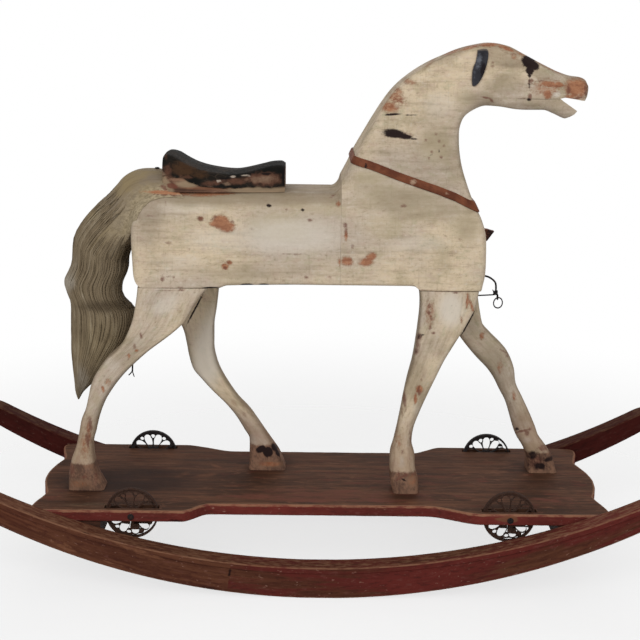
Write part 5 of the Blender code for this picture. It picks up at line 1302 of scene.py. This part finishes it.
def rockerMesh(name, side):
    radius = rocker["radius"]
    centre = math.sqrt(radius ** 2 - (rocker["flat"] / 2) ** 2)
    flat, tip = math.asin(rocker["flat"] / 2 / radius), math.asin(rocker["halfLength"] / radius)
    body = 1 - rocker["noseShare"]
    shares = np.concatenate([np.linspace(0, body, 84), [0.975, 0.984, 0.991, 0.9955, 0.9985, 1.0]])
    half = flat + (tip - flat) * shares
    rings, edges, grains = [], [], []
    for angle in np.concatenate([-half[::-1], half]):
        x = radius * math.sin(angle)
        high = rocker["height"] + (rocker["tip"] - rocker["height"]) * (x / rocker["halfLength"]) ** 2
        past = max(0, (abs(angle) / tip - body) / rocker["noseShare"])
        nose = 1 - (1 - rocker["nose"]) * (1 - math.sqrt(max(0, 1 - past ** 2)))
        low = (1 - nose) * high * rocker["lift"]
        top = high * nose + low
        rings.append([])
        for across, up, wear in rockerProfile(low, top, top - rocker["bead"] * nose):
            wobble = rocker["wobble"] * noise.noise(Vector((x * 14 + side, across * 20, up * 20)))
            z = centre - (radius - up) * math.cos(angle)
            rings[-1].append(((radius - up) * math.sin(angle), side * (across + wobble), max(z, 0)))
            edges.append(min(1, wear + 0.5 * past))
            grains.append((radius * angle + 3 * side, across, up))
    return ringMesh(name, rings, edge=edges, grain=grains)


# Past the scarf joint the right-hand rocker is worn browner; the left one has one finish throughout
scarfX = seen(229, 575, -0.194).x
for node, side, nearWood, farWood in (("rocker_right", -1, "rocker", "rockerBrown"),
                                      ("rocker_left", 1, "rockerFar", "rockerFar")):
    made = addPiece("bow_" + node, rockerMesh("bow_" + node, side), woods[nearWood], "rocker_oxblood", node,
                    body="rocker_base")
    made.data.materials.append(woods[farWood])
    for face in made.data.polygons:
        if face.center.x * side + scarfX > 0:
            face.material_index = 1
    if side < 0:
        paint(made, {
            "dark": [
                (229.5, 573, 0.8, 20, 0.7), (210, 588, 12, 3, -6, 0.5), (330, 594, 40, 1.6, 0.5),
                (80, 530, 20, 1.4, -24, 0.6), (190, 567, 34, 1.6, -13, 0.5)],
            "orange": [
                (262, 566, 22, 1.2, -4, 0.6), (140, 552, 30, 2.4, -18, 0.7), (60, 545, 20, 5, -24, 0.6),
                (507, 549, 12, 2, 14, 0.7), (118, 566, 26, 1.6, -18, 0.6)],
        })
    else:
        paint(made, {"dark": [(400, 590, 1.2, 20, 1)]}, farSide)

board = {"under": 0.1090, "thick": 0.0187, "halfLength": 0.459, "half": 0.1575, "waist": 0.126,
         "corner": 0.016, "scallop": 0.015, "step": 0.003, "scallopY": 0.078, "soft": 0.0026,
         "slotPlay": 0.0018, "slotLow": 0.09, "slotHigh": 0.15, "nick": 0.0007, "edgeReach": 0.0048}
# Each waist ramp: its middle from the centre and its length, worn differently at the four places
waistRamps = {"front_left": (0.190, 0.054), "front_right": (0.210, 0.088), "rear_right": (0.197, 0.043),
              "rear_left": (0.196, 0.096)}


def boardQuarter(middle, ramp):
    wide, waist, radius = board["half"], board["waist"], board["corner"]
    start = middle - ramp / 2
    quarter = [(start * k / 24, waist) for k in range(25)]
    for share in [k / 16 for k in range(1, 17)]:
        quarter.append((start + ramp * share, waist + (wide - waist) * share * share * (3 - 2 * share)))
    cornerX, cornerY = board["halfLength"] - radius - board["step"], wide - radius
    run = cornerX - quarter[-1][0]
    quarter += [(quarter[-1][0] + run * k / 30, wide) for k in range(1, 30)]
    turns = [pi / 2 * (1 - k / 10) for k in range(11)]
    quarter += [(cornerX + radius * math.cos(turn), cornerY + radius * math.sin(turn)) for turn in turns]
    endX, endY = quarter[-1]
    dipX, dipY = board["halfLength"] - board["scallop"], board["scallopY"]
    for share in [k / 14 for k in range(1, 15)]:
        quarter.append((endX + (dipX - endX) * math.sin(share * pi / 2) ** 2, endY + (dipY - endY) * share))
    for share in [k / 14 for k in range(1, 15)]:
        quarter.append((dipX + board["scallop"] * math.sin(share * pi / 2), dipY * (1 - share)))
    return quarter


quarters = {place: boardQuarter(*ramp) for place, ramp in waistRamps.items()}
outline = np.array(quarters["front_left"] + [(x, -y) for x, y in quarters["front_right"][-2:0:-1]]
                   + [(-x, -y) for x, y in quarters["rear_right"]]
                   + [(-x, y) for x, y in quarters["rear_left"][-2:0:-1]])


def flatFill(loop, z, spacing):
    # Even triangles over the inside of a loop
    size = len(loop)
    low, high = loop.min(0), loop.max(0)
    following = np.roll(loop, -1, axis=0)
    spots = []
    for x in np.arange(low[0], high[0], spacing):
        for y in np.arange(low[1], high[1], spacing):
            crosses = (loop[:, 1] > y) != (following[:, 1] > y)
            run = loop[crosses] + (following[crosses] - loop[crosses]) * (
                (y - loop[crosses, 1]) / (following[crosses, 1] - loop[crosses, 1]))[:, None]
            inside = np.count_nonzero(run[:, 0] > x) % 2 == 1
            if inside and np.min(np.hypot(loop[:, 0] - x, loop[:, 1] - y)) > 0.5 * spacing:
                spots.append(Vector((x, y)))
    edges = [(k, (k + 1) % size) for k in range(size)]
    flat, _, faces, _, _, _ = delaunay_2d_cdt([Vector(p) for p in loop] + spots, edges, [], 1, 1e-7)
    return [(p.x, p.y, z) for p in flat], faces


def boardPiece():
    ahead = np.roll(outline, -1, axis=0) - np.roll(outline, 1, axis=0)
    inward = np.stack([ahead[:, 1], -ahead[:, 0]], 1) / np.linalg.norm(ahead, axis=1)[:, None]
    if np.sum(inward * -outline) < 0:
        inward = -inward
    soft, under, top = board["soft"], board["under"], board["under"] + board["thick"]
    # Each level of the rim: its inset, its height and its wear
    levels = [(0.0100, under, 0.1), (soft, under, 0.5)]
    levels += [(soft * (1 - math.sin(a)), under + soft * (1 - math.cos(a)), 0.7) for a in (0.5, 1.0, pi / 2)]
    levels += [(0, under + board["thick"] * s, 0.05) for s in (0.4, 0.6)]
    levels += [(soft * (1 - math.cos(a)), top - soft * (1 - math.sin(a)), 1) for a in (0.0, 0.5, 1.0, pi / 2)]
    levels += [(0.0042, top, 0.35), (0.0070, top, 0.1), (0.0110, top, 0)]
    rings, edges = [], []
    for inset, z, wear in levels:
        nick = np.array([noise.noise(Vector((x * 60, y * 60, z * 90))) for x, y in outline]) * board["nick"]
        level = outline + inward * (inset + nick[:, None] * (1 if wear >= 0.7 else 0.3) + 0.0002)
        rings.append(np.column_stack([level, np.full(len(level), z)]))
        edges.append([wear] * len(level))
    shape = bmesh.new()
    shape.from_mesh(ringMesh("rim", rings, capped=False, edge=edges))
    for ring, z, spacing in ((rings[0], under, 0.012), (rings[-1], top, 0.005)):
        verts, faces = flatFill(ring[:, :2], z, spacing)
        made = [shape.verts.new(spot) for spot in verts]
        for face in faces:
            shape.faces.new([made[k] for k in face])
    bmesh.ops.remove_doubles(shape, verts=shape.verts, dist=2e-5)
    mesh = bpy.data.meshes.new("platform_plank")
    shape.to_mesh(mesh)
    shape.free()
    grained(tidied(mesh))
    made = addPiece("platform_plank", mesh, woods["board"], "board_brown", "platform_board")
    for place in waistRamps:
        low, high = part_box("wheel_" + place)
        middle, half = (low + high) / 2, (high - low) / 2
        reach, slotY = half.x + board["slotPlay"], half.y + board["slotPlay"]
        loop = [(middle.x + x, board[z]) for x, z in ((-reach, "slotLow"), (reach, "slotLow"),
                                                      (reach, "slotHigh"), (-reach, "slotHigh"))]
        cutAway(made, prism("slot", loop, middle.y - slotY, middle.y + slotY))
    made.data.materials.append(woods["boardEdge"])
    for face in made.data.polygons:
        nearEdge = np.min(np.hypot(*(outline - np.array(face.center[:2])).T)) < board["edgeReach"]
        if abs(face.normal.z) < 0.75 and nearEdge:
            face.material_index = 1
    return made


boardMade = boardPiece()
paint(boardMade, {"orange": [(507, 519, 12, 4, 0.9)], "dark": [(175, 520, 12, 2, 0.7)]})
paint(boardMade, {
    "orange": [
        (182, 475, 8, 2, 20, 0.9), (206, 475, 12, 1.4, 6, 0.9), (216, 466, 6, 1.4, -16, 0.8),
        (330, 498, 120, 6, 0.5), (300, 488, 160, 5, 0.3), (236, 499, 70, 3, 0.5), (436, 503, 60, 3, 0.5)],
    # The four small dark marks at the hooves are painted shadows and the broad one over the left end is
    # painted shade; the two long strips darken the board towards its back
    "dark": [
        (405, 497, 22, 3, 0.8), (80, 487, 24, 3, 0.8), (262, 469, 22, 3, 0.7), (540, 482, 24, 3, 0.7),
        (190, 460, 90, 6, 0.5), (130, 480, 80, 15, 1), (400, 458, 120, 4, 0.5)],
    "red": [(330, 496, 150, 9, 0.6), (560, 500, 60, 8, 0.5), (400, 480, 90, 8, 0.5)],
    "olive": [(90, 505, 34, 3, 0.3)],
}, (0, 0, 1))

print("wheels")
wheel = {"radius": 0.0415, "rimWidth": 0.0085, "rimDepth": 0.0029, "web": 0.0045, "webRadius": 0.0392,
         "webSoft": 0.0006, "hub": 0.0085, "hubWidth": 0.0100, "bore": 0.0029, "soft": 0.0014, "forks": 5,
         "lean": 0.26, "petalFrom": 0.0115, "petalLength": 0.0244, "petalHalf": 0.0066}
wheelTurns = {"rear_right": 260, "rear_left": 90, "front_right": 265, "front_left": 110}
# Each petal-shaped hole: share of its length and of its half width
petal = [(0, 0.16), (0.10, 0.50), (0.28, 0.78), (0.48, 0.94), (0.68, 1), (0.84, 0.88), (0.95, 0.56), (1, 0.2)]
# Each round hole: share of the way to the next fork, distance from the middle, radius
roundHoles = ((0, 0.0312, 0.0038), (0.5, 0.0330, 0.0034))


def lathed(name, half, centre):
    # Turns a half profile (radius, along Y) and its mirror about the Y axis through the centre
    profile = half + [(r, -a) for r, a in reversed(half)]
    rings = [[(centre[0] + r * math.cos(turn), centre[1] + a, centre[2] + r * math.sin(turn))
              for r, a in profile] for turn in around(72)]
    return ringMesh(name, rings, True)


def webLoops(start):
    # The web's outline, then its holes
    edge, pitch = wheel["webRadius"], 2 * pi / wheel["forks"]
    loops = [[(edge * math.cos(turn), edge * math.sin(turn)) for turn in around(72)]]
    half = [(wheel["petalFrom"] + wheel["petalLength"] * share, wheel["petalHalf"] * width)
            for share, width in petal]
    petalLoop = half + [(r, -t) for r, t in reversed(half)]
    for fork in [pitch * k + start for k in range(wheel["forks"])]:
        for share, reach, radius in roundHoles:
            x, y = reach * math.cos(fork + share * pitch), reach * math.sin(fork + share * pitch)
            loops.append([(x + radius * math.cos(turn), y + radius * math.sin(turn)) for turn in around(20)])
        for lean in (-wheel["lean"], wheel["lean"]):
            c, s = math.cos(fork + lean * pitch), math.sin(fork + lean * pitch)
            loops.append([(r * c - t * s, r * s + t * c) for r, t in petalLoop])
    return loops


def webMesh(start, centre):
    curve = bpy.data.curves.new("web", "CURVE")
    curve.dimensions, curve.fill_mode = "2D", "BOTH"
    curve.extrude = wheel["web"] / 2 - wheel["webSoft"]
    curve.bevel_depth, curve.bevel_resolution, curve.offset = wheel["webSoft"], 2, -wheel["webSoft"]
    for loop in webLoops(start):
        spline = curve.splines.new("POLY")
        spline.points.add(len(loop) - 1)
        spline.use_cyclic_u = True
        for point, (a, b) in zip(spline.points, loop):
            point.co = (a, b, 0, 1)
    holder = bpy.data.objects.new("web", curve)
    scene.collection.objects.link(holder)
    web = bpy.data.meshes.new_from_object(holder.evaluated_get(bpy.context.evaluated_depsgraph_get()))
    upright = Matrix(((1, 0, 0, 0), (0, 0, 1, 0), (0, 1, 0, 0), (0, 0, 0, 1)))
    web.transform(Matrix.Translation(centre) @ upright)
    bpy.data.objects.remove(holder)
    return web


for place, turn in wheelTurns.items():
    low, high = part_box("wheel_" + place)
    centre = (low + high) / 2
    rim, half, soft = wheel["radius"] - wheel["rimDepth"], wheel["rimWidth"] / 2, wheel["soft"]
    rimHalf = [(rim, -half + soft), (rim + 0.0008, -half + 0.0002), (rim + soft + 0.001, -half)]
    rimHalf += [(wheel["radius"] - soft + soft * math.sin(a), -half + soft - soft * math.cos(a))
                for a in (0.0, 0.5, 1.0, pi / 2)]
    hub, hubHalf = wheel["hub"], wheel["hubWidth"] / 2
    hubProfile = [(wheel["bore"], -hubHalf), (hub - 0.0012, -hubHalf), (hub, -hubHalf + 0.0012),
                  (hub + 0.0010, -0.0020)]
    mesh = joined("cast_wheel_" + place, [webMesh(math.radians(turn), centre), lathed("rim", rimHalf, centre),
                                          lathed("hub", hubProfile, centre)])
    mesh.materials.clear()
    look = irons["brown" if place.endswith("right") else "cast"]
    addPiece("cast_wheel_" + place, mesh, look, "wheel_iron", "wheel_" + place, body=f"wheel_{place}_body")

print("carried-over nodes")
carried = {"cross_rail": woods["rail"], "locating_peg": woods["bare"], "axle_pin": irons["rusty"],
           "body_dowel": woods["bare"], "hoof_screw": irons["rusty"], "tail_tack": irons["rusty"]}
for name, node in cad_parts.items():
    for start, material in carried.items():
        if name.startswith(start):
            for spot in node.material_slots:
                spot.material = material
    if name.startswith("cross_rail"):
        bevel = node.modifiers.new("worn edges", "BEVEL")
        bevel.width, bevel.segments = 0.0010, 2

print("floor and light")
floorLook = Finish("pale_floor", False)
floorTone = floorLook.noise((3, 3, 3)).mixed((0.885, 0.885, 0.885), (0.905, 0.905, 0.905))
floorLook.done(floorTone, 0.85)
distance = floorLook.start.node("VectorMath", {"operation": "LENGTH"}, {0: floorLook.place}, 1)
floorLook.start.feed(floorLook.shader.inputs, {"Alpha": distance.ramp(1.6, 0.7) * 0.28})
floor = bpy.data.objects.new("floor", bpy.data.meshes.new("floor"))
floor.data.from_pydata([(-60, -20, -0.0005), (60, -20, -0.0005), (60, 80, -0.0005), (-60, 80, -0.0005)], [],
                       [(0, 1, 2, 3)])
floor.data.materials.append(floorLook.material)
scene.collection.objects.link(floor)

# White behind the object, and softer light on it
lit = {"ambient": 0.42, "backdrop": 1.0}
world = bpy.data.worlds.new("studio")
scene.world = world
world.use_nodes = True
sky = Tap(world.node_tree)
rays = [sky.node("LightPath", {}, {}, f"Is {kind} Ray") for kind in ("Camera", "Glossy", "Transmission")]
strength = rays[0].larger(rays[1]).larger(rays[2]) * (lit["backdrop"] - lit["ambient"]) + lit["ambient"]
sky.feed(world.node_tree.nodes["Background"].inputs, {"Color": (1, 1, 1, 1), "Strength": strength})

# Each lamp: its name, place, width and power
lamps = [
    ("front_key", (-1.3, -2.9, 2.3), 2.2, 60),
    ("front_fill", (1.9, -2.7, 1.3), 2.4, 28),
    ("back_fill", (0.6, 3.0, 2.2), 2.6, 22),
]
for name, place, size, power in lamps:
    lamp = bpy.data.objects.new(name, bpy.data.lights.new(name, "AREA"))
    lamp.data.size = size
    lamp.data.energy = power
    lamp.location = place
    lamp.rotation_euler = (Vector((0, 0, 0.42)) - Vector(place)).to_track_quat("-Z", "Y").to_euler()
    scene.collection.objects.link(lamp)
scene.view_settings.view_transform = "Standard"
